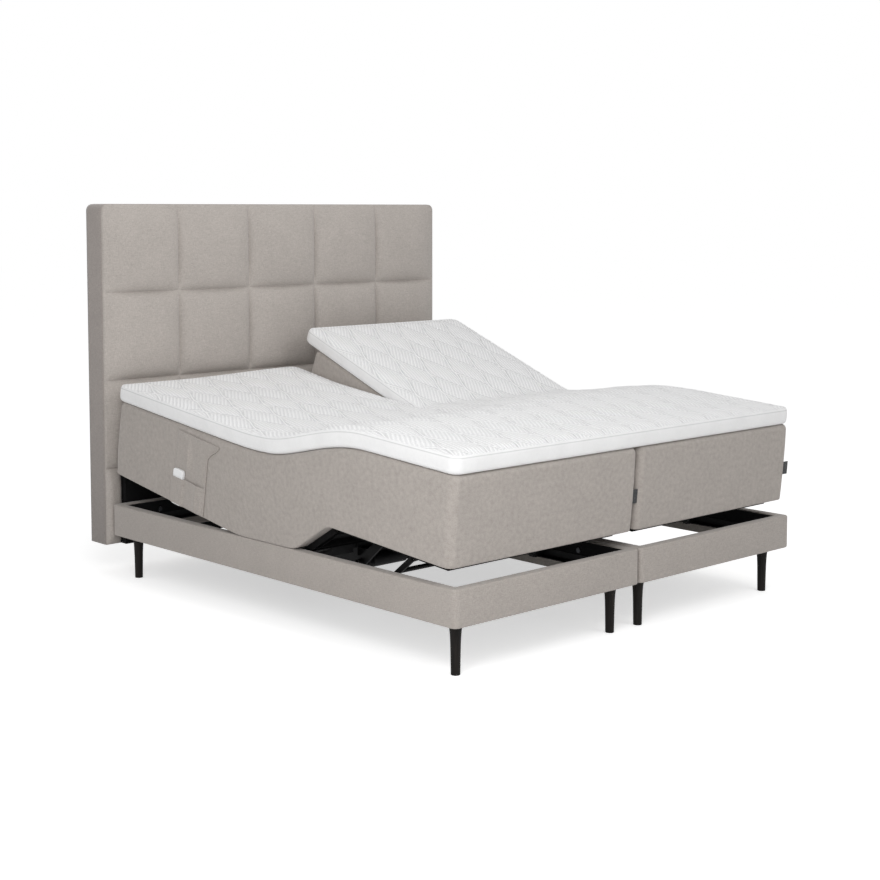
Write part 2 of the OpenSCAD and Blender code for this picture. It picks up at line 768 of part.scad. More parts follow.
module drive(side) {
    end_r = tube_r + 14;
    top = rail_top - deck_t - 35;
    low = back_tube[1] - end_r;
    dome_r = 33;
    color([0.12, 0.12, 0.13]) in_half(side) difference() {
        union() {
            for (p = [back_tube, leg_tube]) rod_at(p, end_r, drive_w);
            translate([-drive_w / 2, leg_tube[0], low])
                cube([drive_w, back_tube[0] - leg_tube[0], top - low]);
            for (y = [mix(cross_y[0], cross_y[1], 0.45), cross_y[1] + cross_t / 2 + dome_r + 2])
                translate([0, y, top - 10]) {
                    cylinder(r = dome_r, h = 34);
                    translate([0, 0, 34]) cylinder(r1 = dome_r, r2 = dome_r - 5, h = 4);
                }
            for (i = [0:5]) translate([-drive_w / 2 - 2, mix(leg_tube[0], back_tube[0],
                0.3 + 0.08 * i), low + 10]) cube([drive_w + 4, 5, 40]);
        }
        for (p = [back_tube, leg_tube]) rod_at(p, tube_r + tube_gap, drive_w + 10);
    }
}

box_len = 42;
box_side = 100;
box_low = 30;

module control_boxes() {
    z = rail_top - deck_t - seat_gap - box_low;
    color([0.12, 0.12, 0.13]) for (side = [NEAR, FAR]) in_half(side)
        translate([side * (arm_x + 92), thigh_y + deck_lead + 3, z]) difference() {
            translate([-box_side / 2, 0, 0]) cube([box_side, box_len, box_low]);
            translate([-10, box_len - 8, 8]) cube([20, 9, 10]);
        }
}

module lift(tube, dir, arm, angle) {
    end_r = 14;
    in_section(tube, dir, angle) {
        difference() {
            rod(tube_r, tube_len);
            rod(tube_r - 3, tube_len + 2);
        }
        for (s = [-1, 1]) {
            translate([s * arm_x, 0, 0]) difference() {
                union() {
                    rod(tube_r + 9, arm_t);
                    translate([0, arm, 0]) rod(end_r, arm_t);
                    slab([[0, -tube_r - 7], [arm, -end_r], [arm, end_r], [0, tube_r + 7]],
                        -arm_t / 2, arm_t / 2);
                }
                rod(tube_r - 1, arm_t + 2);
            }
            translate([s * (arm_x + arm_t / 2 + roller_w / 2 + 1), arm, 0])
                rod(pin_r, roller_w + 5);
            translate([s * (arm_x + arm_t / 2 + roller_w + 4.5), arm, 0]) rod(pin_head_r, 3);
        }
    }
}

module back_lift(side) {
    color([0.12, 0.12, 0.12]) in_half(side) lift(back_tube, 1, back_arm,
        lift_angle(back_arm_flat, back_lift_ratio, back_rest(side)));
}

module leg_lift(side) {
    color([0.12, 0.12, 0.12]) in_half(side) lift(leg_tube, -1, leg_arm,
        lift_angle(leg_arm_flat, leg_lift_ratio, leg_rest));
}

module rollers(tube, dir, arm, angle) {
    in_section(tube, dir, angle) for (s = [-1, 1])
        translate([s * (arm_x + arm_t / 2 + 2 + roller_w / 2), arm, 0]) difference() {
            union() {
                rod(roller_r, roller_w - 4);
                rod(roller_r - 2, roller_w);
            }
            rod(pin_r + pin_gap, roller_w + 2);
        }
}

module back_rollers(side) {
    color("whitesmoke") in_half(side) rollers(back_tube, 1, back_arm,
        lift_angle(back_arm_flat, back_lift_ratio, back_rest(side)));
}

module leg_rollers(side) {
    color("whitesmoke") in_half(side) rollers(leg_tube, -1, leg_arm,
        lift_angle(leg_arm_flat, leg_lift_ratio, leg_rest));
}

// The struts' upper eyes are wide round their pins: there the linkage is left open
strut_top = along(knee, -1, -calf_fall, strut_pin_u, strut_pin_v);
strut_run = [strut_pivot[0] - strut_top[0], strut_top[1] - strut_pivot[1]];
strut_len = norm(strut_run);
strut_angle = atan2(strut_run[1], strut_run[0]);

module calf_strut(side) {
    eye_r = strut_pin_r + strut_slack;
    color([0.12, 0.12, 0.12]) in_half(side) in_section(strut_pivot, -1, strut_angle) {
        for (s = [-1, 1]) translate([s * strut_x, 0, 0]) difference() {
            union() {
                rod(12, strut_t);
                translate([0, strut_len, 0]) rod(eye_r + 4, strut_t);
                slab([[0, -9], [strut_len, -10], [strut_len, 10], [0, 9]],
                    -strut_t / 2, strut_t / 2);
            }
            rod(strut_pin_r + pin_gap, strut_t + 2);
            translate([0, strut_len, 0]) rod(eye_r, strut_t + 2);
        }
        translate([0, strut_len / 2, 0]) rod(8, 2 * strut_x);
    }
}

// ---------- mattress boxes ----------

far_up = 3 * box_t;
leg_far_up = 5 / 3 * box_t;
box_low_v = deck_t / 2 + seat_gap;

// Cuts through the hinges, as outlines in a section's own directions
function cut_at(lean, v, gap) = [v * tan(lean) + gap, v];

module box_seat(side) {
    b = box_low_v;
    color([0.66, 0.64, 0.61]) in_half(side) intersection() {
        slab([[thigh_y + b * tan(seat_thigh_lean), hinge_z + b],
            [hip_y - b * tan(seat_hip_lean), hinge_z + b],
            [hip_y - far_up * tan(seat_hip_lean), hinge_z + far_up],
            [thigh_y + far_up * tan(seat_thigh_lean), hinge_z + far_up],
            ], -box_w / 2, box_w / 2);
        under_lie(side, -box_w, box_w);
        translate([0, thigh_y, 0]) translate([-box_w / 2, 0, 0])
            cube([box_w, seat_len, hinge_z + box_t + 60]);
    }
}

module box_back(side) {
    color([0.66, 0.64, 0.61]) in_half(side) intersection() {
        in_section(hip, 1, back_rest(side)) intersection() {
            slab([cut_at(back_hip_lean, box_low_v, 0), [back_len, box_low_v],
                [back_len, far_up], cut_at(back_hip_lean, far_up, 0)], -box_w / 2, box_w / 2);
            round_end(box_w, back_len, box_corner_r, 0, far_up);
        }
        under_lie(side, -box_w, box_w);
    }
}

module box_thigh(side) {
    color([0.66, 0.64, 0.61]) in_half(side) intersection() {
        in_section(thigh_hinge, -1, leg_rest) slab([
            cut_at(thigh_seat_lean, box_low_v, 0), [thigh_len - fold_gap / 2, box_low_v],
            [thigh_len - fold_gap / 2, leg_far_up], cut_at(thigh_seat_lean, leg_far_up, 0)],
            -box_w / 2, box_w / 2);
        under_lie(side, -box_w, box_w);
    }
}

// The woven flag sewn into the corner seam at the foot end
flag_t = 2;
module seam_flag(side) {
    tip = overall_half - half_x - (side == NEAR ? 5 : 0);
    translate([tip - flag_w, calf_len - 0.2 * box_corner_r, box_low_v + flag_rise])
        cube([flag_w, flag_t, flag_h]);
}

module box_calf(side) {
    color([0.66, 0.64, 0.61]) in_half(side) {
        intersection() {
            in_section(knee, -1, -calf_fall) intersection() {
                slab([cut_at(knee_lean, box_low_v, fold_gap / 2), [calf_len, box_low_v],
                    [calf_len, leg_far_up], cut_at(knee_lean, leg_far_up, fold_gap / 2)],
                    -box_w / 2, box_w / 2);
                round_end(box_w, calf_len, box_corner_r, 0, leg_far_up);
            }
            under_lie(side, -box_w, box_w);
        }
        in_section(knee, -1, -calf_fall) seam_flag(side);
    }
}

// ---------- topper ----------

topper_half = topper_w / 2;

// A topper piece over both halves, cut to the outline of one section
module topper_both() {
    union() {
        topper_band(NEAR, -topper_half, 0);
        topper_band(FAR, 0, topper_half);
    }
}

module topper_seat() {
    b = box_low_v;
    color([0.93, 0.93, 0.93]) intersection() {
        slab([[thigh_y + b * tan(seat_thigh_lean), hinge_z + b],
            [hip_y - b * tan(seat_hip_lean), hinge_z + b],
            [hip_y - leg_far_up * tan(seat_hip_lean), hinge_z + leg_far_up],
            [thigh_y + leg_far_up * tan(seat_thigh_lean), hinge_z + leg_far_up]],
            -head_w, head_w);
        topper_both();
    }
}

module topper_thigh() {
    color([0.93, 0.93, 0.93]) intersection() {
        in_section(thigh_hinge, -1, leg_rest) slab([
            cut_at(thigh_seat_lean, box_low_v, 0), [thigh_len - fold_gap / 2, box_low_v],
            [thigh_len - fold_gap / 2, leg_far_up], cut_at(thigh_seat_lean, leg_far_up, 0)],
            -head_w, head_w);
        topper_both();
    }
}

module topper_calf() {
    color([0.93, 0.93, 0.93]) intersection() {
        in_section(knee, -1, -calf_fall) intersection() {
            slab([cut_at(knee_lean, box_low_v, fold_gap / 2), [calf_len, box_low_v],
                [calf_len, leg_far_up], cut_at(knee_lean, leg_far_up, fold_gap / 2)], -head_w, head_w);
            round_end(topper_w, calf_len, topper_corner_r, 0, leg_far_up);
        }
        topper_both();
    }
}

// Where the foot-side end of a back topper lies at rest, before its lean
function topper_back_u(side) = -topper_slide_rate * (back_max - back_rest(side));

module topper_back(side) {
    over = side == NEAR ? near_overhang : far_overhang;
    u0 = topper_back_u(side);
    x0 = side == NEAR ? -topper_half : topper_split / 2;
    w = topper_half - topper_split / 2;
    color([0.93, 0.93, 0.93]) intersection() {
        in_section(hip, 1, back_rest(side)) intersection() {
            slab([cut_at(back_hip_lean, 0, u0), [back_len + over, 0],
                [back_len + over, far_up], cut_at(back_hip_lean, far_up, u0)], x0, x0 + w);
            translate([x0 + w / 2, 0, 0])
                round_end(w, back_len + over, topper_corner_r, 0, far_up);
        }
        topper_band(side, x0, x0 + w);
    }
}

// ---------- folds: the stretches of foam that give at the hinges ----------

module hip_fold(side) {
    a = back_rest(side);
    b = box_low_v;
    far_v = 2 * box_t;
    low = along(hip, 1, a, b * tan(back_hip_lean) - fold_gap, b);
    high = along(hip, 1, a, far_v * tan(back_hip_lean) - fold_gap, far_v);
    color([0.64, 0.62, 0.59]) in_half(side) intersection() {
        slab([[hip_y - b * tan(seat_hip_lean) + fold_gap, hinge_z + b], low, high,
            [hip_y - far_v * tan(seat_hip_lean) + fold_gap, hinge_z + far_v]],
            -box_w / 2, box_w / 2);
        under_lie(side, -box_w, box_w);
    }
}

module topper_fold(side) {
    a = back_rest(side);
    low_v = 0.85 * box_t;
    far_v = 2 * box_t;
    u0 = topper_back_u(side);
    x0 = side == NEAR ? -topper_half : topper_split / 2;
    w = topper_half - topper_split / 2;
    color([0.91, 0.91, 0.91]) intersection() {
        slab([[hip_y - low_v * tan(seat_hip_lean) + fold_gap, hinge_z + low_v],
            along(hip, 1, a, low_v * tan(back_hip_lean) + u0 - fold_gap, low_v),
            along(hip, 1, a, far_v * tan(back_hip_lean) + u0 - fold_gap, far_v),
            [hip_y - far_v * tan(seat_hip_lean) + fold_gap, hinge_z + far_v]], x0, x0 + w);
        topper_band(side, x0, x0 + w);
    }
}

function knee_wedge(far_v) = [
    along(knee, -1, leg_rest, fold_gap / 2, box_low_v),
    along(knee, -1, -calf_fall, -fold_gap / 2, box_low_v),
    along(knee, -1, -calf_fall, far_v * tan(knee_lean) - fold_gap / 2, far_v),
    along(knee, -1, leg_rest, fold_gap / 2, far_v)];

module knee_folds() {
    color([0.64, 0.62, 0.59]) for (side = [NEAR, FAR]) in_half(side) intersection() {
        slab(knee_wedge(leg_far_up), -box_w / 2, box_w / 2);
        under_lie(side, -box_w, box_w);
    }
}

module topper_knee_fold() {
    color([0.91, 0.91, 0.91]) intersection() {
        slab(knee_wedge(leg_far_up), -head_w, head_w);
        topper_both();
    }
}

function thigh_wedge(far_v) = [
    [thigh_y + box_low_v * tan(seat_thigh_lean) - fold_gap, hinge_z + box_low_v],
    along(thigh_hinge, -1, leg_rest, box_low_v * tan(thigh_seat_lean) - fold_gap, box_low_v),
    along(thigh_hinge, -1, leg_rest, far_v * tan(thigh_seat_lean) - fold_gap, far_v),
    [thigh_y + far_v * tan(seat_thigh_lean) - fold_gap, hinge_z + far_v]];

module thigh_folds() {
    color([0.64, 0.62, 0.59]) for (side = [NEAR, FAR]) in_half(side) intersection() {
        slab(thigh_wedge(leg_far_up), -box_w / 2, box_w / 2);
        under_lie(side, -box_w, box_w);
    }
}

module topper_thigh_fold() {
    color([0.91, 0.91, 0.91]) intersection() {
        slab(thigh_wedge(leg_far_up), -head_w, head_w);
        topper_both();
    }
}

// ---------- pocket, handset and keys ----------

// Children in the near back's directions, x counted outwards from the middle of the half
module on_near_side() {
    in_half(NEAR) in_section(hip, 1, near_back_rest) mirror([1, 0, 0]) children();
}

module remote_pocket() {
    x0 = box_w / 2 + seat_gap;
    x1 = x0 + pocket_depth;
    top_v = box_low_v + box_t - 8;
    color([0.66, 0.64, 0.61]) on_near_side() {
        translate([x0, pocket_u, pocket_bottom_v])
            cube([pocket_cloth, pocket_w, top_v - pocket_bottom_v]);
        difference() {
            translate([x0, pocket_u, pocket_bottom_v])
                cube([pocket_depth, pocket_w, mouth_top_v - pocket_bottom_v]);
            translate([x0 + pocket_cloth, pocket_u + pocket_cloth, pocket_bottom_v + pocket_cloth])
                cube([pocket_depth - 2 * pocket_cloth - 0.2, pocket_w - 2 * pocket_cloth, box_t]);
        }
    }
}

key_grid = [[-1, 0], [1, 0], [-1, 1], [1, 1]];
function key_place(i) = [handset_u + key_grid[i][0] * 12.5,
    handset_top_v - 42 - key_grid[i][1] * 28];

module handset_body() {
    w = handset_w;
    l = handset_len;
    r = 12;
    rotate([0, 90, 0]) linear_extrude(handset_t)
        translate([l / 2, 0]) rounded_plan(l, w, r);
}

module handset() {
    color("white") on_near_side() difference() {
        translate([handset_x, handset_u, handset_top_v]) handset_body();
        for (i = [0:3]) translate([handset_x + handset_t - key_depth,
            key_place(i)[0] - key_w / 2 - key_gap, key_place(i)[1] - key_l / 2 - key_gap])
            cube([key_depth + 1, key_w + 2 * key_gap, key_l + 2 * key_gap]);
    }
}

module key(i) {
    l = key_depth + key_proud - key_travel - seat_gap;
    color([0.55, 0.57, 0.6]) on_near_side()
        translate([handset_x + handset_t + key_proud - l, key_place(i)[0] - key_w / 2,
            key_place(i)[1] - key_l / 2]) cube([l, key_w, key_l]);
}

headboard_board();
headboard_padding();
headboard_lining();
headboard_back_cloth();
headboard_brackets();
connecting_bolts();
base_frame(NEAR);  // near_base_frame
base_frame(FAR);  // far_base_frame
base_linings();
legs();
leg_plates();
mechanism_frame(NEAR);  // near_mechanism_frame
mechanism_frame(FAR);  // far_mechanism_frame
box_seat(NEAR);  // near_seat_mattress
box_seat(FAR);  // far_seat_mattress
topper_seat();
drive(NEAR);  // near_drive
drive(FAR);  // far_drive
control_boxes();
hinge_pins();
back_deck(NEAR);  // near_back_deck
box_back(NEAR);  // near_back_mattress
remote_pocket();
back_deck(FAR);  // far_back_deck
box_back(FAR);  // far_back_mattress
topper_back(NEAR);  // near_back_topper
topper_back(FAR);  // far_back_topper
thigh_deck(NEAR);  // near_thigh_deck
box_thigh(NEAR);  // near_thigh_mattress
topper_thigh();
thigh_deck(FAR);  // far_thigh_deck
box_thigh(FAR);  // far_thigh_mattress
calf_deck(NEAR);  // near_calf_deck
box_calf(NEAR);  // near_calf_mattress
topper_calf();
calf_deck(FAR);  // far_calf_deck
box_calf(FAR);  // far_calf_mattress
back_lift(NEAR);  // near_back_lift
leg_lift(NEAR);  // near_leg_lift
back_lift(FAR);  // far_back_lift
leg_lift(FAR);  // far_leg_lift
back_rollers(NEAR);  // near_back_rollers
leg_rollers(NEAR);  // near_leg_rollers
back_rollers(FAR);  // far_back_rollers
leg_rollers(FAR);  // far_leg_rollers
calf_strut(NEAR);  // near_calf_strut
calf_strut(FAR);  // far_calf_strut
handset();
key(0);  // key_back_up
key(1);  // key_back_down
key(2);  // key_legs_up
key(3);  // key_legs_down
hip_fold(NEAR);  // near_hip_fold
hip_fold(FAR);  // far_hip_fold
topper_fold(NEAR);  // near_topper_fold
topper_fold(FAR);  // far_topper_fold
knee_folds();
thigh_folds();
topper_knee_fold();
topper_thigh_fold();
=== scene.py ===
"""Dresses the adjustable double bed: soft goods, finishes, studio and camera.

The bed's two halves are called near (at -X) and far (at +X). The foot end faces -Y.
Everything is in metres, in the frame of the solids.
"""

from __future__ import annotations

import json
import logging
import math
from dataclasses import dataclass, field
from enum import Enum
from functools import cache, lru_cache
from typing import Callable, Iterable, Sequence, TypeVar, Union

import bmesh
import bpy
from mathutils import Matrix, Vector, noise

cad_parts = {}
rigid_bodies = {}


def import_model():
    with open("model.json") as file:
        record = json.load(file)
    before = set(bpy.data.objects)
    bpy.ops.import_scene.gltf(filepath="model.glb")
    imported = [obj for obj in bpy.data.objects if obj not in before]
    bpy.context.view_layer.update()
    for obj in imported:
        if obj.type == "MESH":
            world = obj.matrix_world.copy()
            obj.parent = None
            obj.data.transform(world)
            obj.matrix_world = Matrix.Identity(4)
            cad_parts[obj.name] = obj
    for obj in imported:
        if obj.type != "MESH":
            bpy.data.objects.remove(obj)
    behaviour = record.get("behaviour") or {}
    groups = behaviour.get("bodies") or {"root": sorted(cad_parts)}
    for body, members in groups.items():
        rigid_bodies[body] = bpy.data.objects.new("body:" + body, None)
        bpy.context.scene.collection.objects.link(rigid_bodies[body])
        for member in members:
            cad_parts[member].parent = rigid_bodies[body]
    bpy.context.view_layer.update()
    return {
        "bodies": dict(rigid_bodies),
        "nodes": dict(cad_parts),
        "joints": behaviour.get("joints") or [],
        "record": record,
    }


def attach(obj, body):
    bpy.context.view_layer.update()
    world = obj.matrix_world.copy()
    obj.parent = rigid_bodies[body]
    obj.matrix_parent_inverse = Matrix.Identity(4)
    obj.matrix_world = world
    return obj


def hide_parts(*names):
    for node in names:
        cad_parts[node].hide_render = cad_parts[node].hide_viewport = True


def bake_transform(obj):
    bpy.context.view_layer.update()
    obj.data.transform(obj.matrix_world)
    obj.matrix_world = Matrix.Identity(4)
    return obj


log = logging.getLogger("bed")

Point = tuple[float, float]
Point3 = tuple[float, float, float]
Place = Callable[[float, float, float], Vector]
Swell = Callable[[Vector, Vector, float, float, float], Vector]
Mesh = bmesh.types.BMesh
Piece = bpy.types.Object
Node = bpy.types.Node
Socket = bpy.types.NodeSocket
Given = bpy.types.bpy_prop_collection
Value = Union[Socket, float, Sequence[float]]
Tint = tuple[float, float, float]
T = TypeVar("T")

HALF_MIDDLE = 0.451


class Side(Enum):
    """One half of the bed, by the sign of its X."""

    NEAR = -1
    FAR = 1

    @property
    def label(self) -> str:
        """The half's name in the nodes and bodies."""
        return self.name.lower()

    @property
    def middle(self) -> float:
        """X of the half's middle."""
        return self.value * HALF_MIDDLE

    def pick(self, pair: Sequence[T]) -> T:
        """The half's own one of a near and a far value."""
        return pair[self is Side.FAR]

    @staticmethod
    def at(x: float) -> Side:
        """The half that a place across the bed lies in."""
        return Side.NEAR if x < 0 else Side.FAR


class Coords(Enum):
    """What a pattern is laid on."""

    SURFACE = "UV"
    SPACE = "Object"


# ---------------------------------------------------------------- bed line


def ease(t: float) -> float:
    """Smooth step from 0 to 1."""
    t = min(1.0, max(0.0, t))
    return t * t * (3 - 2 * t)


def mix(a: float, b: float, t: float) -> float:
    """Value between a and b."""
    return a + (b - a) * t


def bell(away: float, width: float) -> float:
    """1 where away is 0, fading to both sides."""
    return math.exp(-((away / width) ** 2))


@dataclass(frozen=True)
class Cut:
    """A plane across the bed, seen side-on.

    It passes through (y, z) and leans towards the head by lean degrees going up.
    """

    y: float
    z: float
    lean: float

    def y_at(self, z: float) -> float:
        """Y of the plane at a height."""
        return self.y + (z - self.z) * math.tan(math.radians(self.lean))

    def normal(self) -> Vector:
        """Unit vector square to the plane, towards the head."""
        a = math.radians(self.lean)
        return Vector((0, math.cos(a), -math.sin(a)))

    def point(self) -> Vector:
        """The point that the plane is stated by."""
        return Vector((0, self.y, self.z))


@dataclass(frozen=True)
class BedLine:
    """The side-on line of decks, boxes and topper in the rest pose."""

    hip: Point = (0.075, 0.286)
    thigh_hinge: Point = (-0.265, 0.286)
    back_rest: Point = (9.0, 22.0)
    hip_swell: Point = (0.026, 0.004)
    leg_rest: float = 31.0
    calf_fall: float = 4.8
    back_len: float = 0.835
    thigh_len: float = 0.210
    calf_len: float = 0.600
    under: float = 0.0113
    rise: float = 0.311
    seat_top: float = 0.615
    leg_slope: Point = (0.170, 0.195)
    settle: float = 0.008
    squeeze: float = 0.0299
    squeeze_at: Point = (-0.210, 0.420)
    head_fall: float = 0.006
    meeting: float = 0.005
    topper_t: float = 0.0655
    topper_rest: float = 0.0003
    share_reach: float = 0.16
    curl: float = 0.016
    curl_x: float = 0.6
    curl_y: Point = (0.54, 0.36)
    thigh_split: Point = (-0.240, 0.697)
    seat_split: Point = (0.0, 0.690)
    soft_lean: float = 20.0
    bend: Point = (0.70, 0.60)
    lumbar: Point = (0.74, 0.64)
    knee_reach: float = 0.40

    @property
    def knee(self) -> Point:
        """The knee's axis."""
        return self.along(self.thigh_hinge, -1, self.leg_rest, self.thigh_len, 0)

    def along(self, origin: Point, way: int, angle: float, u: float, v: float) -> Point:
        """A point in a section's own directions.

        Args:
            origin: The section's hinge, as (y, z).
            way: 1 where the section runs to the head, -1 to the foot.
            angle: Angle above flat, in degrees.
            u: Distance along the section.
            v: Distance above it.

        Returns:
            The point as (y, z).
        """
        c, s = math.cos(math.radians(angle)), math.sin(math.radians(angle))
        return origin[0] + way * (u * c - v * s), origin[1] + u * s + v * c

    def on_back(self, side: Side, u: float, v: float) -> Point:
        """A point in a back's own directions."""
        return self.along(self.hip, 1, side.pick(self.back_rest), u, v)

    def on_calf(self, u: float, v: float) -> Point:
        """A point in the calf sections' own directions."""
        return self.along(self.knee, -1, -self.calf_fall, u, v)

    def leg_top(self, y: float) -> float:
        """Height of the boxes over seat and legs."""
        foot = self.on_calf(self.calf_len, self.rise)
        slope = math.tan(math.radians(self.calf_fall)) - self.settle / self.calf_len
        start = self.thigh_hinge[0] + self.leg_slope[0]
        end = self.knee[0] - self.leg_slope[1]
        calf = foot[1] + (y - foot[0]) * slope
        return mix(self.seat_top, calf, ease((start - y) / (start - end)))

    def box_top(self, side: Side, y: float, share: float) -> float:
        """Height of a box's top.

        Args:
            side: The half.
            y: Station along the bed.
            share: Share of the far half's swell over the thigh.

        Returns:
            The height.
        """
        middle, reach = self.squeeze_at
        t = min(1.0, abs(y - middle) / reach)
        low = self.leg_top(y) + share * self.squeeze * math.cos(math.pi / 2 * t) ** 2
        p = self.on_back(side, 0, self.rise + side.pick(self.hip_swell))
        q = self.on_back(side, self.back_len, self.rise - self.head_fall)
        high = p[1] + (y - p[0]) * (q[1] - p[1]) / (q[0] - p[0])
        return (low + high) / 2 + math.hypot((low - high) / 2, self.meeting)

    def topper_z(self, side: Side, x: float, y: float, t: float) -> float:
        """Height in the topper, at t from 0 below to 1 above."""
        share = ease((x + self.share_reach) / (2 * self.share_reach))
        low = self.box_top(side, y, share) + self.topper_rest
        if side is Side.NEAR:
            start, reach = self.curl_y
            low += self.curl * ease((x + self.curl_x) / self.curl_x) * ease((y - start) / reach)
        return low + t * self.topper_t

    # The cuts between soft pieces
    def thigh_cut(self) -> Cut:
        """Across the thigh section, half way along it."""
        return Cut(*self.thigh_split, self.soft_lean)

    def seat_cut(self) -> Cut:
        """Across the seat, below the hip's bend."""
        return Cut(*self.seat_split, self.soft_lean)

    def foot_cut(self) -> Cut:
        """The foot end, square to the calf section."""
        return Cut(*self.on_calf(self.calf_len, 0), -self.calf_fall)

    def head_cut(self, side: Side, over: float) -> Cut:
        """The head end, square to a back, past its deck by over."""
        return Cut(*self.on_back(side, self.back_len + over, 0), -side.pick(self.back_rest))

    def lumbar_cut(self, side: Side) -> Cut:
        """Across the topper, above the hip's bend."""
        y = side.pick(self.lumbar)
        return Cut(y, self.topper_z(side, side.middle, y, 1), self.soft_lean)

    # Where the soft pieces start and finish bending
    def hip_bend(self, side: Side) -> tuple[Vector, Vector]:
        """The bend between the base and a back."""
        return Vector((0, 0, 0)), Vector((0, side.pick(self.bend), 0))

    def thigh_bend(self) -> tuple[Vector, Vector]:
        """The bend between the base and the thigh section."""
        start, cut = self.seat_cut().point(), self.thigh_cut()
        reach = (start - cut.point()).dot(cut.normal()) - 0.001
        return start, start - cut.normal() * reach

    def knee_bend(self) -> tuple[Vector, Vector]:
        """The bend between the thigh and the calf section."""
        cut = self.thigh_cut()
        return cut.point(), cut.point() - cut.normal() * self.knee_reach

    def slide_zone(self, side: Side, end: float) -> tuple[Vector, Vector]:
        """Where a topper starts and finishes sliding over its back, to end along it."""
        cut, turn = self.lumbar_cut(side), math.radians(side.pick(self.back_rest))
        ahead, up = cut.y - self.hip[0], cut.z - self.hip[1]
        begin = ahead * math.cos(turn) + up * math.sin(turn) + 0.002
        return tuple(Vector((0, *self.on_back(side, u, 0))) for u in (begin, end))

    @lru_cache(maxsize=None)
    def on_top(self, cut: Cut, side: Side, x: float, t: float | None) -> Point:
        """Where a cut meets a box's top, or the topper at t.

        Args:
            cut: The plane.
            side: The half.
            x: Station across the bed.
            t: Height in the topper from 0 to 1, or None for the box's top.

        Returns:
            The point as (y, z).
        """
        y, z = cut.y, cut.z
        for _ in range(24):
            if t is None:
                z = self.box_top(side, y, side.pick((0.0, 1.0)))
            else:
                z = self.topper_z(side, x, y, t)
            y = cut.y_at(z)
        return y, z


LINE = BedLine()


class Course:
    """A line in the YZ plane, read by the share of its length."""

    STEPS = 8

    def __init__(self, start: Point, corner: Point, end: Point, reach: float) -> None:
        """Softens the corner over a reach to both sides and measures the line."""
        a, b, c = (Vector(p) for p in (start, corner, end))
        p, q = b + (a - b).normalized() * reach, b + (c - b).normalized() * reach
        curve = [
            p * (1 - t) ** 2 + b * (2 * t * (1 - t)) + q * t * t
            for t in (i / self.STEPS for i in range(self.STEPS + 1))
        ]
        self.points = [tuple(v) for v in (a, *curve, c)]
        self.runs = [0.0]
        for a, b in zip(self.points, self.points[1:]):
            self.runs.append(self.runs[-1] + math.hypot(b[0] - a[0], b[1] - a[1]))

    def at(self, t: float) -> Point:
        """The point at a share of the length."""
        d = min(1.0, max(0.0, t)) * self.runs[-1]
        i = 0
        while i < len(self.runs) - 2 and self.runs[i + 1] < d:
            i += 1
        k = (d - self.runs[i]) / max(1e-9, self.runs[i + 1] - self.runs[i])
        a, b = self.points[i], self.points[i + 1]
        return mix(a[0], b[0], k), mix(a[1], b[1], k)


# ---------------------------------------------------------------- mesh tools


def grid_cube(cells: Sequence[int]) -> Mesh:
    """A unit cube centred on the origin, cut into cells along X, Y and Z."""
    bm = box(Vector((-0.5,) * 3), Vector((0.5,) * 3))
    for axis, count in enumerate(cells):
        if count > 1:
            edges = [e for e in bm.edges if spans(e, axis) > 0.5]
            bmesh.ops.subdivide_edges(bm, edges=edges, cuts=count - 1, use_grid_fill=True)
    return bm


def flat_grid(columns: int, rows: int) -> Mesh:
    """A unit square centred on the origin."""
    bm = bmesh.new()
    bmesh.ops.create_grid(bm, x_segments=columns, y_segments=rows, size=0.5)
    return bm


def spans(edge: bmesh.types.BMEdge, axis: int) -> float:
    """How far an edge runs along an axis."""
    return abs(edge.verts[0].co[axis] - edge.verts[1].co[axis])


def new_verts(result: dict) -> list[bmesh.types.BMVert]:
    """The vertices among what an operator has made."""
    return [g for g in result["geom"] if isinstance(g, bmesh.types.BMVert)]


def bevel(bm: Mesh, geom: list, offset: float, segments: int, affect: str = "EDGES") -> None:
    """Rounds edges or corners."""
    bmesh.ops.bevel(
        bm, geom=geom, offset=offset, affect=affect, segments=segments,
        profile=0.5, material=-1,
    )


def box(low: Vector, high: Vector, radius: float = 0.0, segments: int = 3) -> Mesh:
    """A box between two corners, with its edges rounded where a radius is given."""
    bm = bmesh.new()
    bmesh.ops.create_cube(bm, size=1.0)
    bmesh.ops.scale(bm, vec=high - low, verts=bm.verts)
    bmesh.ops.translate(bm, vec=(low + high) / 2, verts=bm.verts)
    if radius:
        bevel(bm, list(bm.edges), radius, segments)
    return bm


def face_towards(bm: Mesh, way: Point3) -> None:
    """Turns a sheet's faces the same way."""
    bmesh.ops.recalc_face_normals(bm, faces=bm.faces)
    if sum(f.normal.dot(Vector(way)) for f in bm.faces) < 0:
        bmesh.ops.reverse_faces(bm, faces=bm.faces)


def sharpen(bm: Mesh, degrees: float) -> None:
    """Marks the edges sharper than an angle."""
    limit = math.radians(degrees)
    for e in bm.edges:
        if len(e.link_faces) == 2 and e.calc_face_angle(0.0) > limit:
            e.smooth = False


def stations(
    total: float, step: float, low: Sequence[float], high: Sequence[float]
) -> list[float]:
    """Places along an edge: close together where it is rounded, then by a step.

    Args:
        total: Length of the edge.
        step: Distance between places on the flat.
        low: Places near the low end, counted from it, the last the furthest in.
        high: Places near the high end, counted back from it.

    Returns:
        The places from 0 to total.
    """
    a, b = (low[-1] if low else 0.0), total - (high[-1] if high else 0.0)
    count = max(1, round((b - a) / step))
    flat = [a + (b - a) * i / count for i in range(count + 1)]
    return sorted({round(v, 7) for v in [*low, *flat, *(total - h for h in high)]})


EDGE_SHARES, CORNER_SHARES = (0.0, 0.12, 0.34, 0.64, 1.0), (0.25, 0.5, 0.75, 1.0)


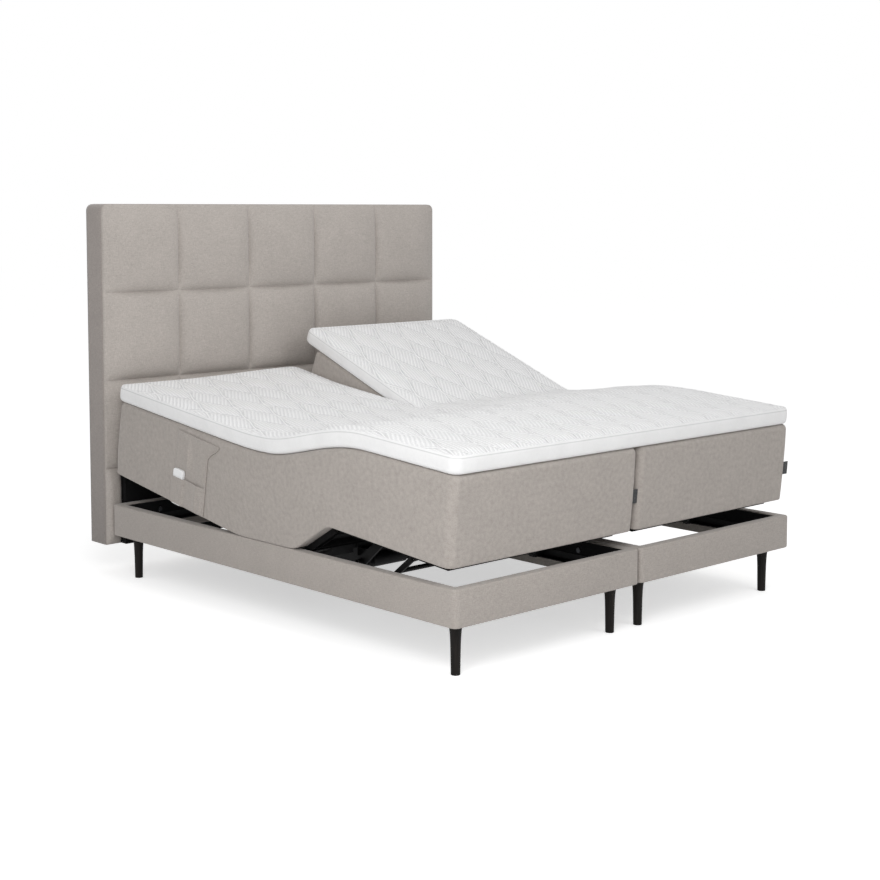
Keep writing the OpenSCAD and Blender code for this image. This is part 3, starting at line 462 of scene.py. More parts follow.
def corner_places(edge: float, corner: float = 0.0) -> list[float]:
    """Places across a rounded edge and, past it, a rounded corner."""
    near = [t * edge for t in EDGE_SHARES]
    past = [mix(edge, corner, t) for t in CORNER_SHARES if corner > edge]
    return near + past


def ripple(p: Vector, size: float, seed: float = 0.0) -> float:
    """A soft unevenness from -1 to 1, the same each run."""
    return noise.noise(
        Vector((p.x / size + seed, p.y / size - seed, p.z / size + 2 * seed))
    )


def to_object(bm: Mesh, name: str, skins: Iterable[Skin] = (), smooth: bool = True) -> Piece:
    """Makes an object at the origin from a bmesh, and frees the bmesh."""
    for f in bm.faces:
        f.smooth = smooth
    bm.normal_update()
    mesh = bpy.data.meshes.new(name)
    bm.to_mesh(mesh)
    bm.free()
    for skin in skins:
        mesh.materials.append(skin.material())
    obj = bpy.data.objects.new(name, mesh)
    bpy.context.scene.collection.objects.link(obj)
    return obj


def make_piece(
    bm: Mesh,
    name: str,
    skins: Iterable[Skin],
    slot: str,
    body: str | None = None,
    stands_for: Sequence[str] = (),
    fill: float | None = None,
    smooth: bool = True,
) -> Piece:
    """Makes a piece of the bed, puts it on its body and hides the nodes that it replaces.

    Args:
        bm: The mesh in place.
        name: The piece's name.
        skins: Its finishes in order.
        slot: Not used.
        body: The body that it rides on, or None to leave it unattached.
        stands_for: The nodes that it replaces.
        fill: Not used.
        smooth: Whether faces are shaded smooth.

    Returns:
        The piece.
    """
    obj = to_object(bm, name, skins, smooth)
    if body:
        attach(obj, body)
    if stands_for:
        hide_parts(*stands_for)
    return obj


@dataclass
class SoftBlock:
    """A block of upholstery with a rounded plan and rounded rims.

    It is made as a straight block of the given size and laid along the bed by place,
    which takes x in metres and the shares of its length and height. It starts at a cut,
    and ends at a cut too unless it is rounded.
    """

    place: Place
    swell: Swell
    x_low: float
    x_high: float
    length: float
    height: float
    step: float
    corner: float
    rim: float
    low_rim: float
    rounded: bool
    map_start: float
    map_way: int
    top_material: int = 0

    def _plan(self, x: float, s: float) -> tuple[float, float, float, Vector]:
        """Rounds the plan's corners.

        Args:
            x: Place across.
            s: Place along, in metres.

        Returns:
            The new x and s, the distance to the outline and the way outwards.
        """
        ex, way = min((x - self.x_low, -1), (self.x_high - x, 1))
        es = self.length - s if self.rounded else math.inf
        r = self.corner
        if ex < r and es < r:
            vx, vs = r - ex, r - es
            k = max(vx, vs) / math.hypot(vx, vs)
            reach = math.hypot(vx, vs) * k
            vx, vs = vx * k, vs * k
            x += way * (ex - (r - vx))
            s += es - (r - vs)
            return x, s, r - reach, Vector((way * vx, vs)) / max(reach, 1e-9)
        return (x, s, ex, Vector((way, 0))) if ex <= es else (x, s, es, Vector((0, 1)))

    def _spot(self, x: float, s: float, h: float) -> tuple[Point3, float, Vector]:
        """Rounds plan and rims: the new place, the distance to the outline, the way out."""
        x, s, d, out = self._plan(x, s)
        for rim, e, way in ((self.rim, self.height - h, 1), (self.low_rim, h, -1)):
            if d < rim and e < rim:
                vd, ve = rim - d, rim - e
                k = max(vd, ve) / math.hypot(vd, ve)
                move = (rim - vd * k) - d
                x, s = x - out.x * move, s - out.y * move
                h += way * (e - (rim - ve * k))
        return (x, s, h), d, out

    def build(self) -> Mesh:
        """The block's mesh with its surface map, laid along the bed."""
        zone = corner_places(self.rim, self.corner)
        rims = corner_places(self.low_rim), corner_places(self.rim)
        xs = stations(self.x_high - self.x_low, self.step, zone, zone)
        ss = stations(self.length, self.step, [], zone if self.rounded else [])
        hs = stations(self.height, self.step, *rims)
        counts = [len(xs) - 1, len(ss) - 1, len(hs) - 1]
        bm = grid_cube(counts)
        marks = {
            v: tuple(round((c + 0.5) * n) for c, n in zip(v.co, counts)) for v in bm.verts
        }
        spots = {}
        for v, (i, j, k) in marks.items():
            spots[v], d, out = self._spot(self.x_low + xs[i], ss[j], hs[k])
            x, s, h = spots[v][0], spots[v][1] / self.length, spots[v][2] / self.height
            ahead = self.place(x, min(1.0, s + 0.01), h) - self.place(x, max(0.0, s - 0.01), h)
            ahead.x = 0
            outwards = Vector((out.x, 0, 0)) + ahead.normalized() * out.y
            v.co = self.swell(self.place(x, s, h), outwards, d, s, h)
        self._map(bm, spots, marks, counts)
        return bm

    def _map(self, bm: Mesh, spots: dict, marks: dict, counts: Sequence[int]) -> None:
        """Lays the surface map, in metres, and marks the cut faces' edges sharp.

        Args:
            bm: The block.
            spots: Place of each vertex on the straight block.
            marks: Its column, station and row.
            counts: How many cells there are each way.
        """
        layer = bm.loops.layers.uv.new("surface")
        cuts = set()
        for f in bm.faces:
            ids = [marks[v] for v in f.verts]
            axis = next(a for a in range(3) if len({m[a] for m in ids}) == 1)
            at = ids[0][axis]
            if axis == 1 and (at == 0 or not self.rounded):
                cuts.add(f)
            f.material_index = self.top_material if (axis, at) == (2, counts[2]) else 0
            for loop in f.loops:
                x, s, h = spots[loop.vert]
                s = self.map_start + self.map_way * s
                loop[layer].uv = ((h + 3, s), (x, h + 3), (x, s))[axis]
        for e in bm.edges:
            if sum(f in cuts for f in e.link_faces) == 1:
                e.smooth = False


# ---------------------------------------------------------------- finishes


def tint(red: int, green: int, blue: int) -> Tint:
    """A colour given in display values from 0 to 255, made linear."""
    return tuple(
        c / 12.92 if c <= 0.04045 else ((c + 0.055) / 1.055) ** 2.4
        for c in (red / 255, green / 255, blue / 255)
    )


class Bench:
    """A node tree that is being wired."""

    def __init__(self, tree: bpy.types.NodeTree) -> None:
        """Takes the tree."""
        self.tree = tree

    def feed(self, node: Node, inputs: dict) -> None:
        """Gives a node's inputs, by name or index, their values or sockets."""
        for key, value in inputs.items():
            if isinstance(value, Socket):
                self.tree.links.new(value, node.inputs[key])
            else:
                node.inputs[key].default_value = value

    def node(self, kind: str, inputs: dict | None = None, **settings) -> Node:
        """Adds a node.

        Args:
            kind: The node's type, without its ShaderNode prefix.
            inputs: Values or sockets for its inputs, by name or index.
            **settings: The node's own settings.

        Returns:
            The node.
        """
        made = self.tree.nodes.new(kind if kind.startswith("Node") else "ShaderNode" + kind)
        for key, value in settings.items():
            setattr(made, key, value)
        self.feed(made, inputs or {})
        return made

    def math(self, operation: str, first: Value, *others: Value) -> Socket:
        """A Math node's result, taken in turn where there are more than two values."""
        if not others:
            return self.node("Math", {0: first}, operation=operation).outputs[0]
        for other in others:
            first = self.node("Math", {0: first, 1: other}, operation=operation).outputs[0]
        return first

    def add(self, *values: Value) -> Socket:
        """A sum."""
        return self.math("ADD", *values)

    def times(self, *values: Value) -> Socket:
        """A product."""
        return self.math("MULTIPLY", *values)

    def less(self, *values: Value) -> Socket:
        """The first value less the others."""
        return self.math("SUBTRACT", *values)

    def fold(self, value: Value) -> Socket:
        """A value reflected to and fro between 0 and 1."""
        return self.math("PINGPONG", value, 1.0)

    def scaled(self, vector: Socket, factor: Value) -> Socket:
        """A vector or colour times a value."""
        inputs = {0: vector, "Scale": factor}
        return self.node("VectorMath", inputs, operation="SCALE").outputs[0]

    def stretched(self, vector: Socket, scale: Point3) -> Socket:
        """A vector scaled unevenly."""
        return self.node("Mapping", {0: vector, "Scale": scale}).outputs[0]

    def axes(self, vector: Socket) -> Given:
        """A vector's three values."""
        return self.node("SeparateXYZ", {0: vector}).outputs

    def blend(self, share: Value, low: Value, high: Value) -> Socket:
        """A colour between two, by a share."""
        return self.node("Mix", {0: share, 6: low, 7: high}, data_type="RGBA").outputs[2]

    def grains(self, vector: Socket, scale: Value, detail: float) -> Socket:
        """A noise's value."""
        inputs = {"Vector": vector, "Scale": scale, "Detail": detail}
        return self.node("TexNoise", inputs).outputs[0]

    def ranged(
        self, value: Value, low: float, high: float, a: float = 0.0, b: float = 1.0
    ) -> Socket:
        """A value moved from the range low to high to the range a to b, held inside it."""
        inputs = {0: value, 1: low, 2: high, 3: a, 4: b}
        return self.node("MapRange", inputs, clamp=True).outputs[0]

    def seen(self) -> Socket:
        """1 for the rays that the camera sees directly, reflected or through glass."""
        ray = self.node("LightPath").outputs
        names = ("Is Camera Ray", "Is Glossy Ray", "Is Transmission Ray")
        return self.math("MAXIMUM", *(ray[name] for name in names))


@dataclass(frozen=True)
class Effect:
    """A shader node group with named inputs and outputs."""

    name: str
    inputs: tuple[tuple[str, str, object], ...]
    outputs: tuple[tuple[str, str], ...]
    wire: Callable[[Bench, Given], dict[str, Socket]]

    def tree(self) -> bpy.types.NodeTree:
        """The group's tree, built once."""
        made = bpy.data.node_groups.get(self.name)
        if made:
            return made
        made = bpy.data.node_groups.new(self.name, "ShaderNodeTree")
        for name, kind, value in self.inputs:
            socket = made.interface.new_socket(
                name, in_out="INPUT", socket_type="NodeSocket" + kind
            )
            if value is not None:
                socket.default_value = value
        for name, kind in self.outputs:
            made.interface.new_socket(
                name, in_out="OUTPUT", socket_type="NodeSocket" + kind
            )
        bench = Bench(made)
        given = bench.node("NodeGroupInput").outputs
        bench.feed(bench.node("NodeGroupOutput"), self.wire(bench, given))
        return made

    def place(self, bench: Bench, inputs: dict) -> Given:
        """Puts the group into a material and hands back its outputs."""
        return bench.node("Group", inputs, node_tree=self.tree()).outputs


def wire_weave(b: Bench, given: Given) -> dict[str, Socket]:
    """Plain weave with slubs: threads across each other and mottled yarn."""
    vector = given["Vector"]
    waves = [b.math("SINE", a) for a in b.axes(b.scaled(vector, given["Threads"]))]
    cross = b.add(*(b.times(waves[i], waves[(i + 1) % 3]) for i in range(3)))
    warp = b.grains(b.stretched(vector, (1, 1, 0.12)), 520, 2)
    weft = b.grains(b.stretched(vector, (0.14, 0.14, 1)), 460, 2)
    yarn = b.add(warp, weft, b.grains(vector, 300, 2))
    colour = b.blend(b.ranged(yarn, 1.02, 1.98), given["Dark"], given["Light"])
    cloud = b.ranged(b.grains(vector, 9, 2), 0.3, 0.7, 0.975, 1.025)
    return {"Color": b.scaled(colour, cloud), "Height": b.add(b.times(cross, 0.35), yarn)}


def wire_knit(b: Bench, given: Given) -> dict[str, Socket]:
    """Ribbed knit: raised waves that meet and part, with slanted ribs between them."""
    vector, width = given["Vector"], given["Width"]
    axes = b.axes(vector)
    turn = b.math("DIVIDE", b.times(axes[1], math.tau), given["Length"])
    straight = b.fold(b.math("DIVIDE", turn, math.pi))
    wave = b.add(b.times(b.math("COSINE", turn), 0.2), b.less(0.3, b.times(straight, 0.6)))
    across = b.math("DIVIDE", b.times(axes[0], 2.0), width)
    first, second = b.add(b.less(across, 0.5), wave), b.less(across, 1.5, wave)
    near = b.times(b.math("MINIMUM", b.fold(first), b.fold(second)), width, 0.5)
    passed = (b.math("FLOOR", b.times(line, 0.5)) for line in (first, second))
    other = b.fold(b.add(*passed))
    along_x = b.times(axes[0], b.ranged(other, 0.0, 1.0, 0.819, 0.966))
    along_v = b.times(axes[1], b.ranged(other, 0.0, 1.0, 0.574, 0.259))
    wobble = b.times(b.grains(vector, 45, 2), 0.004)
    run = b.add(b.less(along_x, along_v), wobble)
    rib = b.math("SINE", b.times(run, given["Ribs"]))
    stitch = b.grains(vector, 190, 3)
    inside = b.ranged(near, 0.004, 0.012)
    ridge = b.ranged(near, 0.001, 0.006, 1.0, 0.0)
    dip = b.ranged(b.math("ABSOLUTE", b.less(near, 0.009)), 0.0, 0.004, 1.0, 0.0)
    height = b.add(b.times(rib, 0.36, inside), b.less(ridge, b.times(dip, 0.4)))
    # Painted light and shade: the ribs lighter and darker across their slope, the ridges painted
    # lighter as highlights, with random stitch mottle on top.
    painted_light_and_mottle = b.add(
        b.times(b.ranged(rib, -1.0, 0.7, 0.2, 0.72), inside),
        b.times(ridge, 1.1),
        b.ranged(stitch, 0.3, 0.7, -0.22, 0.22),
    )
    return {"Mask": b.ranged(painted_light_and_mottle, 0.0, 1.0), "Height": b.add(height, b.times(stitch, 0.5))}


def wire_grain(b: Bench, given: Given) -> dict[str, Socket]:
    """Long wood grain with pores."""
    rings = b.grains(b.stretched(given["Vector"], (9, 9, 0.7)), 7, 4)
    pores = b.grains(b.stretched(given["Vector"], (260, 260, 14)), 3, 2)
    share = b.ranged(b.add(rings, b.times(pores, 0.4)), 0.5, 0.9)
    return {"Color": b.blend(share, given["Dark"], given["Light"]), "Height": pores}


def wire_speckle(b: Bench, given: Given) -> dict[str, Socket]:
    """Fine unevenness and faint handling marks on steel and plastic."""
    fine = b.grains(given["Vector"], given["Scale"], 3)
    marks = b.ranged(b.grains(given["Vector"], 14, 3), 0.55, 0.72)
    share = b.add(b.times(fine, 0.6), b.times(marks, 0.4))
    colour = b.blend(share, given["Dark"], given["Light"])
    return {"Color": colour, "Marks": marks, "Height": fine}


VECTOR, HEIGHT, COLOUR = ("Vector", "Vector", None), ("Height", "Float"), ("Color", "Color")
SHADES = (("Dark", "Color", (0, 0, 0, 1)), ("Light", "Color", (1, 1, 1, 1)))
WEAVE = Effect(
    "Weave", (VECTOR, ("Threads", "Float", 2600.0), *SHADES), (COLOUR, HEIGHT), wire_weave
)
KNIT = Effect(
    "Knit",
    (VECTOR, ("Width", "Float", 0.1425), ("Length", "Float", 0.33), ("Ribs", "Float", 449.0)),
    (("Mask", "Float"), HEIGHT),
    wire_knit,
)
GRAIN = Effect("Grain", (VECTOR, *SHADES), (COLOUR, HEIGHT), wire_grain)
SPECKLE = Effect(
    "Speckle",
    (VECTOR, ("Scale", "Float", 900.0), *SHADES),
    (COLOUR, ("Marks", "Float"), HEIGHT),
    wire_speckle,
)


@dataclass(frozen=True)
class Finish:
    """A finish: its name and the two colours that its pattern moves between."""

    name: str
    dark: Tint
    light: Tint
    coords: Coords = Coords.SPACE
    roughness: float = 0.8
    relief: float = 0.3
    depth: float = 0.0004

    def shades(self) -> dict:
        """The two colours as inputs of an effect."""
        return {"Dark": (*self.dark, 1), "Light": (*self.light, 1)}

    def pattern(self, bench: Bench, where: Socket) -> tuple[dict, Socket]:
        """Wires the finish's own pattern.

        Args:
            bench: The material's node tree.
            where: The coordinates that the pattern is laid on.

        Returns:
            The shader's inputs and the height of the surface.
        """
        raise NotImplementedError

    def material(self) -> bpy.types.Material:
        """Builds the material."""
        material = bpy.data.materials.new(self.name)
        material.use_nodes = True
        bench = Bench(material.node_tree)
        where = bench.node("TexCoord").outputs[self.coords.value]
        inputs, height = self.pattern(bench, where)
        bump = {"Height": height, "Strength": self.relief, "Distance": self.depth}
        normal = bench.node("Bump", bump).outputs[0]
        bench.feed(
            material.node_tree.nodes["Principled BSDF"],
            {"Roughness": self.roughness, **inputs, "Normal": normal},
        )
        return material


@dataclass(frozen=True)
class Cloth(Finish):
    """Woven cloth."""

    threads: float = 2600.0
    sheen: float = 0.25

    def pattern(self, bench: Bench, where: Socket) -> tuple[dict, Socket]:
        """Wires the weave."""
        weave = WEAVE.place(bench, {"Vector": where, "Threads": self.threads, **self.shades()})
        inputs = {
            "Base Color": weave["Color"],
            "Sheen Weight": self.sheen,
            "Sheen Roughness": 0.5,
            "Specular IOR Level": 0.2,
        }
        return inputs, weave["Height"]


@dataclass(frozen=True)
class Bordered(Cloth):
    """Woven border with the fine shadow of its tape seam below its upper edge.

    The seam's place is on the map's side faces, which start at 3 m.
    """

    seam: float = 3.0545
    half_width: float = 0.0024
    shadow: float = 0.38

    def pattern(self, bench: Bench, where: Socket) -> tuple[dict, Socket]:
        """Wires the weave and the seam's shadow."""
        inputs, height = super().pattern(bench, where)
        axes = bench.axes(where)
        up = bench.math("MAXIMUM", axes[0], axes[1])
        away = bench.math("ABSOLUTE", bench.less(up, self.seam))
        line = bench.ranged(away, 0.0008, self.half_width, self.shadow, 0.0)
        dark = (*(0.45 * c for c in self.dark), 1)
        inputs["Base Color"] = bench.blend(line, inputs["Base Color"], dark)
        return inputs, height


@dataclass(frozen=True)
class Knitted(Finish):
    """Quilted knit over the topper."""

    def pattern(self, bench: Bench, where: Socket) -> tuple[dict, Socket]:
        """Wires the knit."""
        knit = KNIT.place(bench, {"Vector": where})
        inputs = {
            # The base colour carries the knit's painted rib shade and ridge highlight, over random
            # stitch mottle.
            "Base Color": bench.blend(knit["Mask"], *self.shades().values()),
            "Sheen Weight": 0.15,
            "Specular IOR Level": 0.15,
        }
        return inputs, knit["Height"]


@dataclass(frozen=True)
class Wood(Finish):
    """Wood, raw or stained."""

    coat: float = 0.0

    def pattern(self, bench: Bench, where: Socket) -> tuple[dict, Socket]:
        """Wires the grain."""
        grain = GRAIN.place(bench, {"Vector": where, **self.shades()})
        inputs = {
            "Base Color": grain["Color"],
            "Coat Weight": self.coat,
            "Coat Roughness": 0.35,
            "Specular IOR Level": 0.15,
        }
        return inputs, grain["Height"]


@dataclass(frozen=True)
class Hard(Finish):
    """Steel or moulded plastic."""

    metallic: float = 0.0
    gloss: float = 0.5
    speckle: float = 900.0

    def pattern(self, bench: Bench, where: Socket) -> tuple[dict, Socket]:
        """Wires the speckle and the handling marks."""
        made = SPECKLE.place(bench, {"Vector": where, "Scale": self.speckle, **self.shades()})
        rough = (self.roughness, self.roughness * 0.7)
        inputs = {
            "Base Color": made["Color"],
            "Roughness": bench.ranged(made["Marks"], 0, 1, *rough),
            "Metallic": self.metallic,
            "Specular IOR Level": self.gloss,
        }
        return inputs, made["Height"]


YARN = tint(152, 145, 139), tint(183, 176, 170)


class Skin(Enum):
    """Every finish on the bed."""

    GREIGE = Cloth("greige cloth", *YARN, Coords.SURFACE)
    GREIGE_RAIL = Cloth("greige rail cloth", *YARN)
    # Lighter copy of the greige: painted light on the headboard's front pads.
    GREIGE_PAD = Cloth("greige pad cloth", tint(160, 153, 147), tint(192, 185, 179))
    # Darker copy of the greige: painted shade on the headboard's sides.
    SIDE_BAND = Cloth("greige side cloth", tint(146, 138, 133), tint(176, 168, 163))
    LINING = Cloth(
        "black lining", tint(8, 8, 9), tint(20, 20, 21), roughness=0.95, sheen=0.02
    )
    RIBBON = Cloth(
        "black ribbon", tint(24, 25, 27), tint(62, 64, 66), threads=5200, roughness=0.6
    )
    KNIT = Knitted(
        "white knit", tint(222, 222, 223), tint(253, 253, 253), Coords.SURFACE,
        roughness=0.85, relief=1.0, depth=0.0028,
    )
    BORDER = Bordered(
        "white border", tint(236, 236, 236), tint(243, 243, 243), Coords.SURFACE,
        relief=0.12, threads=3400,
    )
    DECK = Wood("black stained ply", tint(9, 9, 10), tint(19, 18, 18), roughness=0.85)
    BOARD = Wood("birch board", tint(186, 150, 104), tint(214, 184, 140), roughness=0.7)
    LEG = Wood("dark stained leg", tint(9, 7, 6), tint(26, 22, 19), roughness=0.6, coat=0.03)
    STEEL = Hard(
        "black powder steel", tint(10, 10, 11), tint(22, 22, 23),
        roughness=0.6, relief=0.2, depth=0.0002, gloss=0.2,
    )
    ZINC = Hard(
        "black zinc", tint(38, 39, 41), tint(62, 63, 66),
        roughness=0.45, relief=0.1, depth=0.0001, metallic=0.9,
    )
    DRIVE = Hard(
        "black moulded plastic", tint(12, 12, 13), tint(25, 25, 27),
        roughness=0.6, relief=0.25, depth=0.0002, gloss=0.2, speckle=1600,
    )
    NYLON = Hard(
        "white nylon", tint(214, 213, 208), tint(230, 229, 225), roughness=0.45, relief=0.05
    )
    HANDSET = Hard(
        "white handset", tint(236, 237, 238), tint(246, 246, 246),
        roughness=0.3, relief=0.04, depth=0.0001,
    )
    KEY = Hard(
        "grey key", tint(146, 149, 154), tint(170, 173, 178),
        roughness=0.5, relief=0.15, depth=0.0002, speckle=2400,
    )

    @cache
    def material(self) -> bpy.types.Material:
        """The finish's material, built once."""
        return self.value.material()


# ---------------------------------------------------------------- the pieces


@dataclass(frozen=True)
class Span:
    """A stretch of upholstery between two cuts.

    The surface map starts at map_start and runs the given way. The second end may be
    rounded.
    """

    cuts: tuple[Cut, Cut]
    map_start: float
    map_way: int
    rounded: bool


@dataclass(frozen=True)
class Crease:
    """Soft wrinkles of a cover round one bend."""

    centre: Vector
    reach: float
    depth: float
    size: float
    seed: float

    def at(self, p: Vector) -> float:
        """How far the cover stands in or out at a point."""
        away = (Vector((0, p.y, p.z)) - self.centre).length / self.reach
        if away >= 1:
            return 0.0
        spread = math.atan2(p.z - self.centre.z, p.y - self.centre.y)
        fold = math.sin(spread * 9 + 2.5 * ripple(p, self.size, self.seed))
        return self.depth * ease(1 - away) * fold


@dataclass
class Boxes:
    """The upholstered boxes of one half: legs, seat and back."""

    side: Side
    half: float = 0.446
    corner: float = 0.030
    rim: float = 0.020
    low_rim: float = 0.006
    step: float = 0.012
    gap: float = 0.0006
    bulge: float = 0.0030
    uneven: Point = (0.0012, 0.16)
    thigh_reach: float = 0.1215
    under_pocket: Point = (0.315, 0.16)
    flat_reach: Point = (0.16, 0.10)

    def _swell(self) -> Swell:
        """How the cover bulges between its seams and wrinkles at the bends."""
        seed = 3.1 * self.side.value
        hip, knee = Vector((0, *LINE.hip)), Vector((0, *LINE.knee))
        creases = (
            Crease(hip + Vector((0, 0, 0.16)), reach=0.24, depth=0.0022, size=0.11, seed=seed),
            Crease(
                knee + Vector((0, 0.03, 0.02)), reach=0.20, depth=0.0026, size=0.09, seed=seed + 5
            ),
        )
        pocket = Vector((0, *LINE.on_back(Side.NEAR, *self.under_pocket)))
        flat, fade = self.flat_reach

        def swell(p: Vector, out: Vector, d: float, s: float, h: float) -> Vector:
            """Moves the points of the sides outwards."""
            if d < 0.02:
                rise = self.bulge + sum(c.at(p) for c in creases)
                rise += self.uneven[0] * ripple(p, self.uneven[1], seed)
                rise *= math.sin(math.pi * h)
                if self.side is Side.NEAR and out.x < 0:
                    rise *= ease(((Vector((0, p.y, p.z)) - pocket).length - flat) / fade)
                p = p + out * rise
            return p

        return swell

    def _cover(
        self, part: str, low: Course, span: Span,
        bend: tuple[Vector, Vector], stands_for: Sequence[str],
    ) -> Piece:
        """One box between two cuts.

        Args:
            part: Its name between the half's and "box_cover".
            low: The line of its underside.
            span: Its cuts and map.
            bend: Not used.
            stands_for: The nodes that it replaces.

        Returns:
            The piece.
        """
        (start, _), (end, _) = (LINE.on_top(c, self.side, 0.0, None) for c in span.cuts)
        share = self.side.pick((0.0, 1.0))

        def place(x: float, s: float, h: float) -> Vector:
            """Lays a point between the underside and the top."""
            y = mix(start, end, s)
            under = low.at(s)
            top = LINE.box_top(self.side, y, share) - self.gap
            return Vector((x, mix(under[0], y, h), mix(under[1], top, h)))

        bm = SoftBlock(
            place, self._swell(), self.side.middle - self.half, self.side.middle + self.half,
            low.runs[-1], LINE.rise, self.step, self.corner, self.rim, self.low_rim,
            span.rounded, span.map_start, span.map_way,
        ).build()
        name = f"{self.side.label}_{part}_box_cover"
        obj = make_piece(
            bm, name, [Skin.GREIGE], "greige_fabric", stands_for=stands_for, fill=0.9
        )
        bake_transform(obj)
        return obj

    def build(self) -> list[Piece]:
        """Builds the three boxes."""
        label, u = self.side.label, LINE.under
        folds = ["knee_folds"], ["thigh_folds"]
        knee_folds, thigh_folds = folds if self.side is Side.NEAR else ([], [])
        thigh = LINE.along(LINE.thigh_hinge, -1, LINE.leg_rest, self.thigh_reach, u)
        foot = LINE.on_calf(LINE.calf_len, u)
        head = LINE.on_back(self.side, LINE.back_len, u)
        half = math.radians((LINE.leg_rest + LINE.calf_fall) / 2)
        lean = math.radians((LINE.leg_rest - LINE.calf_fall) / 2)
        reach = u / math.cos(half)
        knee = LINE.knee[0] + reach * math.sin(lean), LINE.knee[1] + reach * math.cos(lean)
        tilt = math.radians(self.side.pick(LINE.back_rest) / 2)
        turn = math.radians(LINE.leg_rest / 2)
        bend = LINE.thigh_hinge[0] + u * math.tan(turn), LINE.thigh_hinge[1] + u
        hip = LINE.hip[0] - u * math.tan(tilt), LINE.hip[1] + u
        seat = LINE.seat_cut().y_at(hip[1]), hip[1]
        cuts = LINE.seat_cut(), LINE.thigh_cut(), LINE.foot_cut()
        end = LINE.head_cut(self.side, 0.0)
        return [
            self._cover(
                "legs", Course(thigh, knee, foot, reach=0.03),
                Span(cuts[1:], map_start=2.0, map_way=1, rounded=True),
                LINE.knee_bend(),
                [f"{label}_thigh_mattress", f"{label}_calf_mattress", *knee_folds],
            ),
            self._cover(
                "seat", Course(seat, bend, thigh, reach=0.03),
                Span(cuts[:2], map_start=1.0, map_way=1, rounded=False),
                LINE.thigh_bend(),
                [f"{label}_seat_mattress", *thigh_folds],
            ),
            self._cover(
                "back", Course(seat, hip, head, reach=0.05),
                Span((cuts[0], end), map_start=1.0, map_way=-1, rounded=True),
                LINE.hip_bend(self.side),
                [f"{label}_back_mattress", f"{label}_hip_fold"],
            ),
        ]


